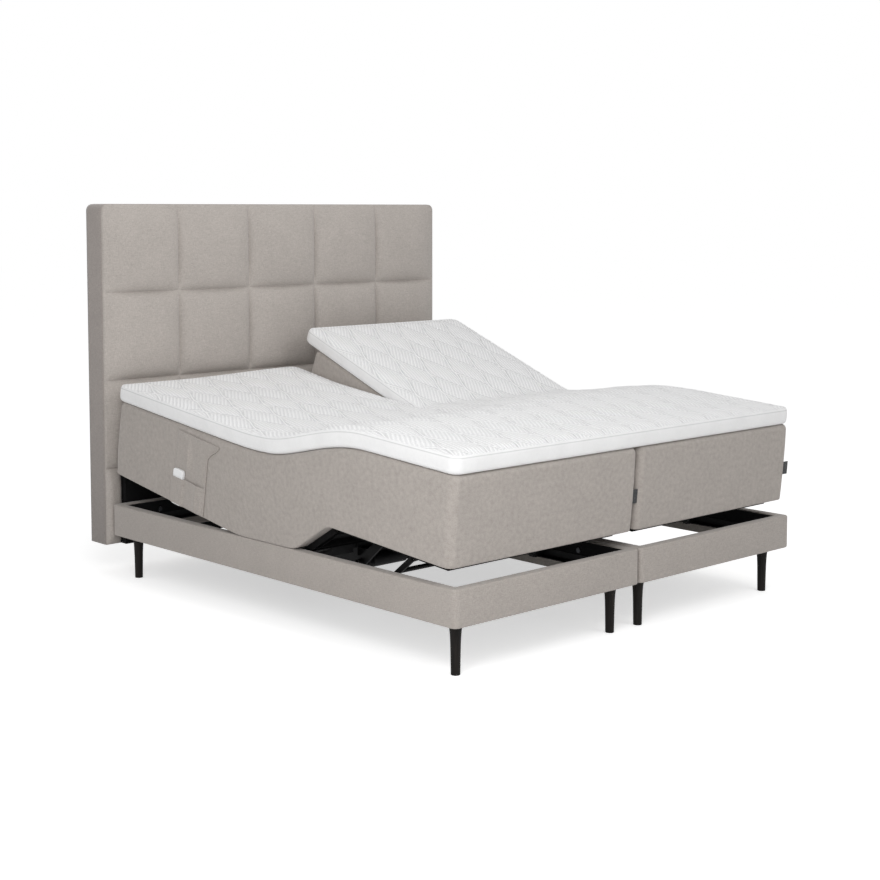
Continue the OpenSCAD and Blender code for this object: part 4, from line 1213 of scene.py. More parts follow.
@dataclass
class Topper:
    """The quilted topper, split between the two backs."""

    half: float = 0.895
    split: float = 0.003
    corner: float = 0.038
    rim: float = 0.011
    low_rim: float = 0.014
    step: float = 0.0095
    crown: float = 0.006
    crown_reach: float = 0.045
    lozenge: Point = (0.1425, 0.33)
    wave: Point = (0.2, 0.3)
    cushion: tuple[Point, Point] = ((0.35, 0.014), (0.65, 0.060))
    puff: float = 0.0050
    lift: float = 0.002
    bulge: float = 0.0028
    seam_dip: float = 0.0022
    over: Point = (0.027, 0.088)
    slide_end: Point = (0.89, 0.91)

    def quilt(self, x: float, v: float) -> float:
        """Height of the quilting, from 0 on a wave to 1 on a cushion."""
        wide, length = self.lozenge
        straight = 1 - 2 * abs((2 * v / length + 1) % 2 - 1)
        wave = self.wave[0] * math.cos(math.tau * v / length) + self.wave[1] * straight
        across = 2 * x / wide
        gaps = (abs((across - at + 1) % 2 - 1) for at in (0.5 - wave, 1.5 + wave))
        near = min(gaps) * wide / 2
        return sum(share * ease(near / reach) for share, reach in self.cushion)

    def _swell(self, span: Span, length: float) -> Swell:
        """How the top is crowned and quilted and the border bulges."""

        def swell(p: Vector, out: Vector, d: float, s: float, h: float) -> Vector:
            """Raises the points of the top and moves those of the border outwards."""
            if h > 0.985 and d > 0:
                v = span.map_start + span.map_way * s * length
                inside = ease((d - self.rim) / self.crown_reach)
                rise = self.crown * ease(d / self.crown_reach) - self.crown
                rise += self.puff * (self.quilt(p.x, v) * inside) + self.lift
                p = p + Vector((0, 0, rise))
                p.z += 0.0012 * ripple(p, 0.07, 4.0) * inside
            elif d < 0.002:
                away = (1 - h) * LINE.topper_t - self.rim * 0.75
                rise = self.bulge * math.sin(math.pi * min(1, h * 1.1)) ** 0.7
                rise -= self.seam_dip * math.exp(-(away**2) / 2e-6)
                p = p + out * (rise + 0.0008 * ripple(p, 0.05, 9.0))
            return p

        return swell

    def _length(
        self, name: str, span: Span, side_at: Callable[[float], Side], edges: Point,
        bend: tuple[Vector, Vector], stands_for: Sequence[str],
    ) -> tuple[Piece, float]:
        """One length of topper between two cuts.

        Args:
            name: The piece's name.
            span: Its cuts and map.
            side_at: Which back's line the topper follows at x.
            edges: Its lowest and highest x.
            bend: Not used.
            stands_for: The nodes that it replaces.

        Returns:
            The piece and its length.
        """

        def place(x: float, s: float, h: float) -> Vector:
            """Lays a point over the boxes, between the cuts."""
            side, t = side_at(x), round(h, 4)
            a, b = (LINE.on_top(cut, side, round(x, 4), t) for cut in span.cuts)
            y = mix(a[0], b[0], s)
            return Vector((x, y, LINE.topper_z(side, x, y, h)))

        points = [place(sum(edges) / 2, i / 40, 1.0) for i in range(41)]
        length = sum((b - a).length for a, b in zip(points, points[1:]))
        bm = SoftBlock(
            place, self._swell(span, length), *edges, length, LINE.topper_t, self.step,
            self.corner, self.rim, self.low_rim, span.rounded, span.map_start, span.map_way,
            top_material=1,
        ).build()
        skins = [Skin.BORDER, Skin.KNIT]
        obj = make_piece(bm, name, skins, "topper_cover", stands_for=stands_for, fill=0.75)
        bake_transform(obj)
        return obj, length

    def build(self) -> list[Piece]:
        """Builds the legs and seat lengths, and two lengths for each back."""
        whole = (-self.half, self.half)
        seat, length = self._length(
            "topper_seat_length",
            Span((LINE.seat_cut(), LINE.thigh_cut()), map_start=0.0, map_way=-1, rounded=False),
            Side.at, whole, LINE.thigh_bend(),
            ("topper_seat", "topper_thigh_fold"),
        )
        legs, _ = self._length(
            "topper_leg_length",
            Span((LINE.thigh_cut(), LINE.foot_cut()), map_start=-length, map_way=-1, rounded=True),
            Side.at, whole, LINE.knee_bend(),
            ("topper_thigh", "topper_calf", "topper_knee_fold"),
        )
        return [seat, legs, *(piece for side in Side for piece in self._back(side))]

    def _back(self, side: Side) -> list[Piece]:
        """Builds the two lengths over one back."""
        label = side.label
        edges = tuple(sorted((side.value * self.split, side.value * self.half)))
        middle, end = LINE.lumbar_cut(side), LINE.head_cut(side, side.pick(self.over))
        lumbar, length = self._length(
            f"{label}_topper_lumbar",
            Span((LINE.seat_cut(), middle), map_start=0.0, map_way=1, rounded=False),
            lambda x: side, edges, LINE.hip_bend(side),
            (f"{label}_topper_fold",),
        )
        head, _ = self._length(
            f"{label}_topper_head",
            Span((middle, end), map_start=length, map_way=1, rounded=True),
            lambda x: side, edges,
            LINE.slide_zone(side, side.pick(self.slide_end)), (f"{label}_back_topper",),
        )
        return [lumbar, head]


def run_cloth(
    obj: Piece, pinned: Callable[[Vector], bool], pressure: float, frames: int
) -> None:
    """Lets a closed cover swell, and keeps the result in its mesh.

    Args:
        obj: The cover.
        pinned: Whether a point is held by a seam or a board.
        pressure: The stuffing's pressure.
        frames: How many steps to run.
    """
    group = obj.vertex_groups.new(name="held")
    group.add([v.index for v in obj.data.vertices if pinned(v.co)], 1.0, "ADD")
    cloth = obj.modifiers.new("cloth", "CLOTH")
    settings = cloth.settings
    settings.quality, settings.mass = 6, 0.3
    settings.tension_stiffness = settings.compression_stiffness = 12
    settings.shear_stiffness, settings.bending_stiffness = 6, 5
    settings.use_pressure, settings.uniform_pressure_force = True, pressure
    settings.effector_weights.gravity = 0
    settings.vertex_group_mass = "held"
    cloth.collision_settings.use_collision = False
    scene = bpy.context.scene
    for step in range(1, frames + 1):
        scene.frame_set(step)
    swollen = bpy.data.meshes.new_from_object(
        obj.evaluated_get(bpy.context.evaluated_depsgraph_get())
    )
    obj.modifiers.clear()
    for v, w in zip(obj.data.vertices, swollen.vertices):
        v.co = w.co
    bpy.data.meshes.remove(swollen)
    scene.frame_set(1)


@dataclass
class PadCover:
    """One tufted cover, swollen between its seams, kept as its rise over a grid."""

    wide: float
    tall: float
    cells: tuple[int, int]
    depth: float = 0.03
    puff: float = 0.038
    fill: float = 2.2
    rim: float = 0.002
    pressure: float = 4.0
    frames: int = 20
    quick_dome: float = 0.012
    rise: dict[tuple[int, int], float] = field(default_factory=dict)

    def _held(self, p: Vector) -> bool:
        """Whether the seams or the board hold a point of the cover."""
        inside = abs(p.x) < self.wide / 2 - self.rim and abs(p.z) < self.tall / 2 - self.rim
        return not (inside and p.y < self.rim - self.depth / 2)

    def swell(self) -> None:
        """Fills in the rise."""
        nx, nz = self.cells
        bm = grid_cube((nx, 1, nz))
        bmesh.ops.scale(bm, vec=(self.wide, self.depth, self.tall), verts=bm.verts)
        obj = to_object(bm, "pad_pattern")
        rest = [v.co.copy() for v in obj.data.vertices]
        run_cloth(obj, self._held, self.pressure, self.frames)
        moved = [(r, (v.co - r).y) for r, v in zip(rest, obj.data.vertices) if r.y < 0]
        most = max(-y for _, y in moved)
        for r, y in moved:
            i, k = round((r.x / self.wide + 0.5) * nx), round((r.z / self.tall + 0.5) * nz)
            share = 1 - math.exp(-self.fill * max(0.0, -y) / most)
            self.rise[i, k] = self.puff * share / (1 - math.exp(-self.fill))
        bpy.data.objects.remove(obj)


@dataclass(frozen=True)
class Outline:
    """The headboard's outline, seen from the front, and where its layers lie."""

    half: float = 0.901
    low: float = 0.125
    high: float = 1.500
    corner: float = 0.027
    seam_y: float = 0.957
    pad_back: float = 0.985
    board_back: float = 1.073

    def rounded(self, x: float, z: float) -> Point:
        """Moves a point of the rectangle on to the outline with rounded corners."""
        r = self.corner
        ex, ez = self.half - abs(x), self.high - z
        if ex < r and ez < r:
            vx, vz = r - ex, r - ez
            k = max(vx, vz) / math.hypot(vx, vz)
            x = math.copysign(self.half - (r - vx * k), x)
            z = self.high - (r - vz * k)
        return x, z


BOARD = Outline()


@dataclass(frozen=True)
class Pad:
    """One pad of the headboard: its middle, its size, and its column and row.

    A strip below the rows has column -1 and its side as the row.
    """

    centre: Point
    size: Point
    column: int
    row: int

    @property
    def strip(self) -> bool:
        """Whether it is one of the two narrow strips."""
        return self.column < 0


@dataclass
class PadFront:
    """The headboard's tufted front."""

    columns: int = 5
    rows: int = 3
    row: float = 0.355
    strip: float = 0.065
    cells: tuple[int, int] = (52, 52)
    strip_cells: int = 10
    strip_puff: float = 0.026
    gather: float = 0.11
    tuft: float = 0.45
    pucker: float = 0.0030
    pucker_reach: float = 0.05
    uneven: float = 0.0010
    strip_reach: float = 0.05

    def _pads(self) -> list[Pad]:
        """The pads by column, from the top down, and then the strips."""
        wide = 2 * BOARD.half / self.columns
        pads = [
            Pad(
                (-BOARD.half + (i + 0.5) * wide, BOARD.high - (j + 0.5) * self.row),
                (wide, self.row), i, j,
            )
            for i in range(self.columns)
            for j in range(self.rows)
        ]
        foot = BOARD.high - self.rows * self.row
        return pads + [
            Pad(
                (side * (BOARD.half - self.strip / 2), (foot + BOARD.low) / 2),
                (self.strip, foot - BOARD.low), -1, side,
            )
            for side in (-1, 1)
        ]

    def _gathered(self, t: float, low: bool, high: bool) -> float:
        """Draws a pad's grid lines towards the ends that are seams."""
        seam = low if t < 0.5 else high
        return t - self.gather * math.sin(math.tau * t) if seam else t

    def _rise(self, pad: Pad, pattern: PadCover, a: float, b: float) -> float:
        """How far a pad stands out at the shares a and b of its width and height."""
        if pad.strip:
            round_x = max(0.0, 1 - (2 * a - 1) ** 4) ** 0.5
            round_z = min(1.0, (min(b, 1 - b) * pad.size[1] / self.strip_reach)) ** 0.5
            return self.strip_puff * round_x * round_z
        nx, nz = self.cells
        i, k = round(a * nx), round(b * nz)
        flip_x, flip_z = (pad.column + pad.row) % 2 == 1, pad.column % 3 == 1
        rise = pattern.rise[nx - i if flip_x else i, nz - k if flip_z else k]
        return rise * math.prod(1 - self.tuft * (2 * t - 1) ** 2 for t in (a, b))

    def _add(self, bm: Mesh, pad: Pad, pattern: PadCover) -> None:
        """Adds one pad to the cover."""
        columns = self.strip_cells if pad.strip else self.cells[0]
        made = bmesh.ops.create_grid(
            bm, x_segments=columns, y_segments=self.cells[1], size=0.5
        )["verts"]
        for v in made:
            a, b = v.co.x + 0.5, v.co.y + 0.5
            rise = self._rise(pad, pattern, a, b)
            inner = min(a, 1 - a, b, 1 - b)
            a = self._gathered(a, pad.column > 0, 0 <= pad.column < self.columns - 1)
            b = self._gathered(b, not pad.strip, pad.row > 0 and not pad.strip)
            x, z = BOARD.rounded(
                pad.centre[0] + (a - 0.5) * pad.size[0], pad.centre[1] + (b - 0.5) * pad.size[1]
            )
            here, loose = Vector((x, 0, z)), ease(inner * 8)
            y = BOARD.seam_y - rise * (1 + 0.03 * ripple(here, 0.5, 7.0))
            dip = self.pucker * math.exp(-inner / self.pucker_reach) * ripple(here, 0.024, 5.0)
            dip += self.uneven * ripple(here, 0.075, 2.0)
            v.co = (x, y - dip * loose, z)

    def build(self) -> list[Piece]:
        """Builds all the pads as one cover that dips into its seams."""
        pattern = PadCover(2 * BOARD.half / self.columns, self.row, self.cells)
        pattern.swell()
        bm = bmesh.new()
        for pad in self._pads():
            self._add(bm, pad, pattern)
        bmesh.ops.remove_doubles(bm, verts=bm.verts, dist=0.0002)
        rim = [e for e in bm.edges if e.is_boundary]
        for v in new_verts(bmesh.ops.extrude_edge_only(bm, edges=rim)):
            v.co.y = BOARD.pad_back
        bmesh.ops.recalc_face_normals(bm, faces=bm.faces)
        return [
            make_piece(
                bm, "headboard_pads", [Skin.GREIGE_PAD], "greige_fabric", "base",
                ("headboard_padding",), fill=0.85,
            )
        ]


@dataclass
class HeadboardCloths:
    """The headboard's edge cover, in a darker copy of the greige that paints its shade, its back
    cloth and the staples.
    """

    over: float = 0.0012
    front_gap: float = 0.004
    back_over: float = 0.0015
    lap: float = 0.030
    thick: float = 0.0016
    draw_in: float = 0.0008
    inset: float = 0.010
    cloth_out: float = 0.0028
    staple_out: float = 0.0040
    staple: Point3 = (0.011, 0.0007, 0.0012)
    staple_pitch: float = 0.062

    def _band(self) -> Mesh:
        """The cover of the board's edges, turned over on to its back."""
        half, bottom, top = BOARD.half + self.over, BOARD.low - self.over, BOARD.high + self.over
        low = Vector((-half, BOARD.seam_y + self.front_gap, bottom))
        high = Vector((half, BOARD.board_back + self.back_over, top))
        bm = box(low, high)
        tops = [
            e for e in bm.edges
            if all(v.co.z > BOARD.high for v in e.verts) and spans(e, 0) == 0
        ]
        bevel(bm, tops, BOARD.corner, 8)
        shut = [f for f in bm.faces if abs(f.normal.y) > 0.9]
        bmesh.ops.delete(bm, geom=shut, context="FACES")
        lengthways = [e for e in bm.edges if spans(e, 1) > 0.05]
        bmesh.ops.subdivide_edges(bm, edges=lengthways, cuts=7, use_grid_fill=True)
        for v in bm.verts:
            depth = (v.co.y - low.y) / (high.y - low.y)
            turn = self.draw_in * ease(abs(2 * depth - 1) * 4 - 3)
            if abs(v.co.x) > BOARD.half - BOARD.corner:
                v.co.x -= math.copysign(turn, v.co.x)
            if v.co.z > BOARD.high - BOARD.corner:
                v.co.z -= turn
        rear = [e for e in bm.edges if all(v.co.y > high.y - 0.0001 for v in e.verts)]
        middle, tall = (BOARD.low + BOARD.high) / 2, BOARD.high - BOARD.low
        for v in new_verts(bmesh.ops.extrude_edge_only(bm, edges=rear)):
            v.co.x *= 1 - self.lap / BOARD.half
            v.co.z += (middle - v.co.z) * 2 * self.lap / tall
        bmesh.ops.recalc_face_normals(bm, faces=bm.faces)
        if sum(f.normal.x * f.calc_center_median().x for f in bm.faces) < 0:
            bmesh.ops.reverse_faces(bm, faces=bm.faces)
        bmesh.ops.solidify(bm, geom=list(bm.faces), thickness=self.thick)
        return bm

    def _back_cloth(self) -> Mesh:
        """Thin black cloth stretched over the back, its hem turned in."""
        half, low, high = BOARD.half - self.inset, BOARD.low + self.inset, BOARD.high - self.inset
        bm = flat_grid(120, 90)
        for v in bm.verts:
            x, z = v.co.x * 2 * half, mix(low, high, v.co.y + 0.5)
            edge = min(half - abs(x), z - low, high - z)
            x, z = BOARD.rounded(x * BOARD.half / half, z)
            x *= half / BOARD.half
            here = Vector((x, 0, z))
            pull = 0.0005 * math.sin(edge * 60) * math.exp(-edge / 0.05)
            sag = 0.0007 * ripple(here, 0.35, 1.0) + 0.0003 * ripple(here, 0.07, 3.0)
            hem = 0.0007 if edge < 0.016 else 0.0
            out = self.cloth_out + hem + (sag + pull) * ease(edge / 0.03)
            v.co = (x, BOARD.board_back + out, z)
        face_towards(bm, (0, 1, 0))
        return bm

    def _staples(self) -> Mesh:
        """Staples round the back cloth's hem."""
        inset, end = 0.018, 0.04
        x_end, z_low, z_high = BOARD.half - inset, BOARD.low + inset, BOARD.high - inset
        spots: list[tuple[float, float, float]] = []
        count = round(2 * (x_end - end) / self.staple_pitch)
        for i in range(count + 1):
            x = mix(end - x_end, x_end - end, i / count)
            spots += [(x, z_low, 0.0), (x, z_high, 0.0)]
        count = round((z_high - z_low - 2 * end) / self.staple_pitch)
        for i in range(count + 1):
            z = mix(z_low + end, z_high - end, i / count)
            spots += [(-x_end, z, math.pi / 2), (x_end, z, math.pi / 2)]
        bm = bmesh.new()
        size = Matrix.Diagonal((*self.staple, 1))
        for n, (x, z, angle) in enumerate(spots):
            turn = Matrix.Rotation(angle + 0.25 * math.sin(n * 2.4), 4, "Y")
            place = Matrix.Translation((x, BOARD.board_back + self.staple_out, z))
            bmesh.ops.create_cube(bm, size=1.0, matrix=place @ turn @ size)
        return bm

    def build(self) -> list[Piece]:
        """Builds the edge cover, the back cloth and its staples."""
        band = make_piece(
            # The edge cover wears the darker copy of the greige, which paints its shade.
            self._band(), "headboard_sides", [Skin.SIDE_BAND], "greige_fabric", "base", fill=1.0
        )
        cloth = make_piece(
            self._back_cloth(), "headboard_back_sheet", [Skin.LINING], "dark_lining", "base",
            ("headboard_back_cloth",),
        )
        staples = make_piece(
            self._staples(), "headboard_staples", [Skin.ZINC], "zinc_steel", "base", smooth=False
        )
        return [band, cloth, staples]


@dataclass
class BaseRails:
    """The upholstered rails of one base frame, and its corner blocks."""

    side: Side
    wide: float = 0.898
    long: float = 1.990
    middle_y: float = -0.080
    low: float = 0.172
    high: float = 0.297
    rail: float = 0.040
    corner: float = 0.022
    inner_corner: float = 0.003
    soft: float = 0.0055
    block: float = 0.0555
    block_low: float = 0.173
    block_top: float = 0.212

    def _ring(self) -> Mesh:
        """A ring of padded rail with softened edges."""
        bm = bmesh.new()
        for inset, radius in ((0.0, self.corner), (self.rail, self.inner_corner)):
            face = bmesh.ops.create_grid(bm, x_segments=1, y_segments=1, size=0.5)["verts"]
            size = (self.wide - 2 * inset, self.long - 2 * inset, 1)
            bmesh.ops.scale(bm, vec=size, verts=face)
            bevel(bm, face, radius, 6, "VERTICES")
            bmesh.ops.delete(bm, geom=list(bm.faces), context="FACES_ONLY")
        bmesh.ops.bridge_loops(bm, edges=[e for e in bm.edges if e.is_wire])
        top = new_verts(bmesh.ops.extrude_face_region(bm, geom=list(bm.faces)))
        bmesh.ops.translate(bm, vec=(0, 0, self.high - self.low), verts=top)
        bmesh.ops.translate(bm, vec=(self.side.middle, self.middle_y, self.low), verts=bm.verts)
        bmesh.ops.recalc_face_normals(bm, faces=bm.faces)
        rims = [
            e for e in bm.edges
            if len(e.link_faces) == 2 and e.calc_face_angle(0.0) > 1.0 and spans(e, 2) < 1e-6
        ]
        bevel(bm, rims, self.soft, 4)
        return bm

    def _blocks(self) -> Mesh:
        """The four timber blocks in the corners."""
        blocks = bmesh.new()
        x_in, y_in = self.wide / 2 - self.rail, self.long / 2 - self.rail
        for sx, sy in ((-1, -1), (-1, 1), (1, -1), (1, 1)):
            x = sorted((sx * x_in, sx * (x_in - self.block)))
            y = sorted((sy * y_in, sy * (y_in - self.block)))
            one = box(
                Vector((self.side.middle + x[0], self.middle_y + y[0], self.block_low)),
                Vector((self.side.middle + x[1], self.middle_y + y[1], self.block_top)),
                0.002, 2,
            )
            spare = bpy.data.meshes.new("block")
            one.to_mesh(spare)
            one.free()
            blocks.from_mesh(spare)
            bpy.data.meshes.remove(spare)
        return blocks

    def build(self) -> list[Piece]:
        """Builds the rails and the blocks."""
        label = self.side.label
        rails = make_piece(
            self._ring(), f"{label}_base_rails", [Skin.GREIGE_RAIL], "greige_fabric", "base",
            (f"{label}_base_frame",), fill=1.0,
        )
        blocks = make_piece(
            self._blocks(), f"{label}_corner_blocks", [Skin.BOARD], "timber", "base", smooth=False
        )
        return [rails, blocks]


BOX_SIDE = -0.897
HANDSET_U = 0.378


def lay(bm: Mesh) -> Mesh:
    """Moves a mesh from the box side's own directions to the bed's.

    These are outwards from the near box, along its back and up its side.
    """
    a = math.radians(LINE.back_rest[0])
    c, s = math.cos(a), math.sin(a)
    y, z = LINE.hip
    frame = Matrix(((-1, 0, 0, BOX_SIDE), (0, c, -s, y), (0, s, c, z), (0, 0, 0, 1)))
    bmesh.ops.transform(bm, matrix=frame, verts=bm.verts)
    bmesh.ops.reverse_faces(bm, faces=bm.faces)
    return bm


@dataclass
class Pocket:
    """The side pocket: a long flap, a pouch in front of the handset, and a piping."""

    u_low: float = 0.215
    u_high: float = 0.415
    v_low: float = 0.015
    v_mouth: float = 0.125
    v_high: float = 0.303
    flare: float = 0.066
    flap_out: float = 0.0024
    flap_thick: float = 0.0016
    pouch_thick: float = 0.0014
    path: Point = (0.044, 0.010)
    fold: float = 0.0105
    fold_u: float = 0.051
    fold_width: float = 0.011
    soft: float = 0.0022
    slack: float = 0.0050
    slack_wave: float = 0.0045
    hem: float = 0.0007
    stitch: float = 0.0005
    handset_bulge: float = 0.0152
    cord: float = 0.0026

    def _foot_edge(self, v: float) -> float:
        """Where the flap's edge runs, flaring to the foot at the top."""
        return self.u_low - self.flare * ease((v - 0.225) / 0.078) ** 1.4

    def _flap_at(self, u: float, v: float) -> float:
        """How far the flap stands out."""
        half, edge = self.path
        path = ease((half - abs(u - HANDSET_U)) / edge) * ease((0.295 - v) / 0.02)
        crease = bell(u - HANDSET_U + self.fold_u - (v - 0.16) * 0.05, self.fold_width)
        fold = self.fold * crease * ease((v - 0.155) / 0.03) * ease((0.30 - v) / 0.08)
        loose = ease((self.u_high - u) / 0.03) * ease((u - self._foot_edge(v)) / 0.03)
        soft = self.soft * (1 + ripple(Vector((0, u, v)), 0.07, 6.0)) * loose
        return self.flap_out + (fold + soft) * (1 - path)

    def _pouch_at(self, u: float, v: float) -> float:
        """How far the pouch stands out, over the handset and beside it."""
        over = ease((0.047 - abs(u - HANDSET_U)) / 0.015)
        side = min(u - self.u_low, self.u_high - u)
        slack = self.slack + 0.0030 * ripple(Vector((0, u, v)), 0.06, 8.0)
        slack += 0.0040 * math.sin(math.pi * min(1.0, (v - self.v_low) / 0.1))
        slack += self.slack_wave * bell(u - self.u_low - 0.045, 0.012)
        body = max(slack * ease(side / 0.02), self.handset_bulge * over)
        shut = min(1.0, (v - self.v_low) / 0.010) ** 0.5
        hem = self.hem * (v > self.v_mouth - 0.012)
        stitch = self.stitch * bell(v - self.v_mouth + 0.0125, 0.0012)
        return self.flap_out + self.flap_thick + body * shut + hem - stitch

    def _flap_spot(self, a: float, b: float) -> Point3:
        """A point of the flap at the shares a and b of its width and height."""
        v = mix(self.v_low, self.v_high, b)
        u = mix(self._foot_edge(v), self.u_high, a)
        return self._flap_at(u, v), u, v

    def _pouch_spot(self, a: float, b: float) -> Point3:
        """A point of the pouch at the shares a and b of its width and height."""
        u, v = mix(self.u_low, self.u_high, a), mix(self.v_low, self.v_mouth, b)
        return self._pouch_at(u, v), u, v

    def _cloth(
        self, cells: tuple[int, int], spot: Callable[[float, float], Point3], thick: float
    ) -> Mesh:
        """A panel of cloth.

        Args:
            cells: How many cells it has along and up.
            spot: Where its points lie, by the shares of its width and height.
            thick: The cloth's thickness.

        Returns:
            The mesh.
        """
        bm = flat_grid(*cells)
        for p in bm.verts:
            p.co = spot(p.co.x + 0.5, p.co.y + 0.5)
        face_towards(bm, (1, 0, 0))
        bmesh.ops.solidify(bm, geom=list(bm.faces), thickness=thick)
        return lay(bm)

    def _piping(self) -> Mesh:
        """A thin cord sewn along the flap's foot-side edge."""
        curve = bpy.data.curves.new("piping", "CURVE")
        curve.dimensions, curve.bevel_depth, curve.bevel_resolution = "3D", self.cord, 3
        curve.use_fill_caps = True
        line = curve.splines.new("POLY")
        count = 60
        line.points.add(count)
        for i in range(count + 1):
            v = mix(self.v_low + 0.002, self.v_high - 0.002, i / count)
            u = self._foot_edge(v)
            line.points[i].co = (self._flap_at(u, v) + 0.0006, u, v, 1)
        obj = bpy.data.objects.new("piping", curve)
        bpy.context.scene.collection.objects.link(obj)
        mesh = bpy.data.meshes.new_from_object(
            obj.evaluated_get(bpy.context.evaluated_depsgraph_get())
        )
        bm = bmesh.new()
        bm.from_mesh(mesh)
        bpy.data.objects.remove(obj)
        bpy.data.curves.remove(curve)
        bpy.data.meshes.remove(mesh)
        lay(bm)
        bmesh.ops.recalc_face_normals(bm, faces=bm.faces)
        return bm

    def build(self) -> list[Piece]:
        """Builds the pocket's cloths and its piping."""
        wear = [Skin.GREIGE_RAIL], "greige_fabric", "near_back"
        flap = self._cloth((56, 80), self._flap_spot, self.flap_thick)
        pouch = self._cloth((64, 40), self._pouch_spot, self.pouch_thick)
        return [
            make_piece(flap, "pocket_flap", *wear, ("remote_pocket",), fill=0.1),
            make_piece(pouch, "pocket_pouch", *wear, fill=0.1),
            make_piece(self._piping(), "pocket_piping", *wear),
        ]


@dataclass
class Handset:
    """The handset in the pocket, laid out as the pocket is, and its keys."""

    half: float = 0.031
    out: Point = (0.0028, 0.0163)
    height: Point = (0.0175, 0.1565)
    corner: float = 0.012
    rim: float = 0.003
    recess: Point3 = (0.0156, 0.0176, 0.0050)
    key_size: Point3 = (0.0049, 0.0150, 0.0170)
    key_top: float = 0.0175
    arrow: Point3 = (0.0040, 0.0034, 0.0006)
    keys: tuple[tuple[str, float, float], ...] = (
        ("key_back_up", -0.0125, 0.1145),
        ("key_back_down", 0.0125, 0.1145),
        ("key_legs_up", -0.0125, 0.0865),
        ("key_legs_down", 0.0125, 0.0865),
    )

    def _case(self) -> Mesh:
        """The handset's case with four sunk openings for its keys."""
        low = Vector((self.out[0], HANDSET_U - self.half, self.height[0]))
        high = Vector((self.out[1], HANDSET_U + self.half, self.height[1]))
        bm = box(low, high)
        bevel(bm, [e for e in bm.edges if spans(e, 0) > 0.005], self.corner, 8)
        rims = [e for e in bm.edges if spans(e, 0) < 1e-6 and e.calc_face_angle(0.0) > 1.0]
        bevel(bm, rims, self.rim, 4)
        wide, tall, deep = self.recess
        for axis, cuts in (
            (1, {HANDSET_U + du + s * wide / 2 for _, du, _ in self.keys for s in (-1, 1)}),
            (2, {v + s * tall / 2 for *_, v in self.keys for s in (-1, 1)}),
        ):
            normal = Vector((0, 0, 0))
            normal[axis] = 1
            for at in sorted(cuts):
                geom = [*bm.verts, *bm.edges, *bm.faces]
                bmesh.ops.bisect_plane(bm, geom=geom, plane_co=normal * at, plane_no=normal)
        for _, du, v in self.keys:
            sunk = [
                f for f in bm.faces
                if f.normal.x > 0.9
                and abs(f.calc_center_median().y - HANDSET_U - du) < wide / 2 - 1e-4
                and abs(f.calc_center_median().z - v) < tall / 2 - 1e-4
            ]
            moved = new_verts(bmesh.ops.extrude_face_region(bm, geom=sunk))
            bmesh.ops.delete(bm, geom=sunk, context="FACES")
            bmesh.ops.translate(bm, vec=(-deep, 0, 0), verts=moved)
        sharpen(bm, 40)
        return lay(bm)

    def _key(self, name: str, du: float, v: float) -> Mesh:
        """A soft key with a raised arrow."""
        half = Vector(self.key_size) / 2
        middle = Vector((self.key_top - half.x, HANDSET_U + du, v))
        bm = box(middle - half, middle + half, 0.0011, 3)
        point = math.pi if name.endswith("up") else 0.0
        turn = Matrix.Rotation(math.pi / 2, 4, "Y") @ Matrix.Rotation(point, 4, "Z")
        wide, narrow, deep = self.arrow
        bmesh.ops.create_cone(
            bm, cap_ends=True, segments=3, radius1=wide, radius2=narrow, depth=deep,
            matrix=Matrix.Translation((self.key_top, middle.y, middle.z)) @ turn,
        )
        sharpen(bm, 40)
        return lay(bm)

    def build(self) -> list[Piece]:
        """Builds the case and the keys."""
        case = make_piece(
            self._case(), "handset_case", [Skin.HANDSET], "handset_plastic", "handset",
            ("handset",),
        )
        return [case] + [
            make_piece(
                self._key(name, du, v), f"{name}_cap", [Skin.KEY], "key_plastic", name, (name,)
            )
            for name, du, v in self.keys
        ]


@dataclass
class SeamFlag:
    """The folded ribbon sewn into one box's corner seam at the foot."""

    side: Side
    x_range: tuple[Point, Point] = ((-0.035, 0.011), (0.872, 0.918))
    u: float = 0.593
    v_range: Point = (0.1103, 0.1603)
    thick: float = 0.0018
    bow: float = 0.0005

    def build(self) -> list[Piece]:
        """Builds the ribbon."""
        bm = grid_cube((16, 2, 12))
        for p in bm.verts:
            x = mix(*self.side.pick(self.x_range), p.co.x + 0.5)
            v = mix(*self.v_range, p.co.z + 0.5)
            loop = math.sqrt(max(0.0, 1 - max(0.0, 2 * p.co.x) ** 6))
            bow = self.bow * math.sin(3 * p.co.x + 2 * p.co.z)
            u = self.u + p.co.y * self.thick * (0.35 + 0.65 * loop) + bow
            p.co = (x, *LINE.on_calf(u, v))
        bmesh.ops.recalc_face_normals(bm, faces=bm.faces)
        sharpen(bm, 50)
        label = self.side.label
        return [
            make_piece(
                bm, f"{label}_seam_flag", [Skin.RIBBON], "dark_lining", f"{label}_calf"
            )
        ]


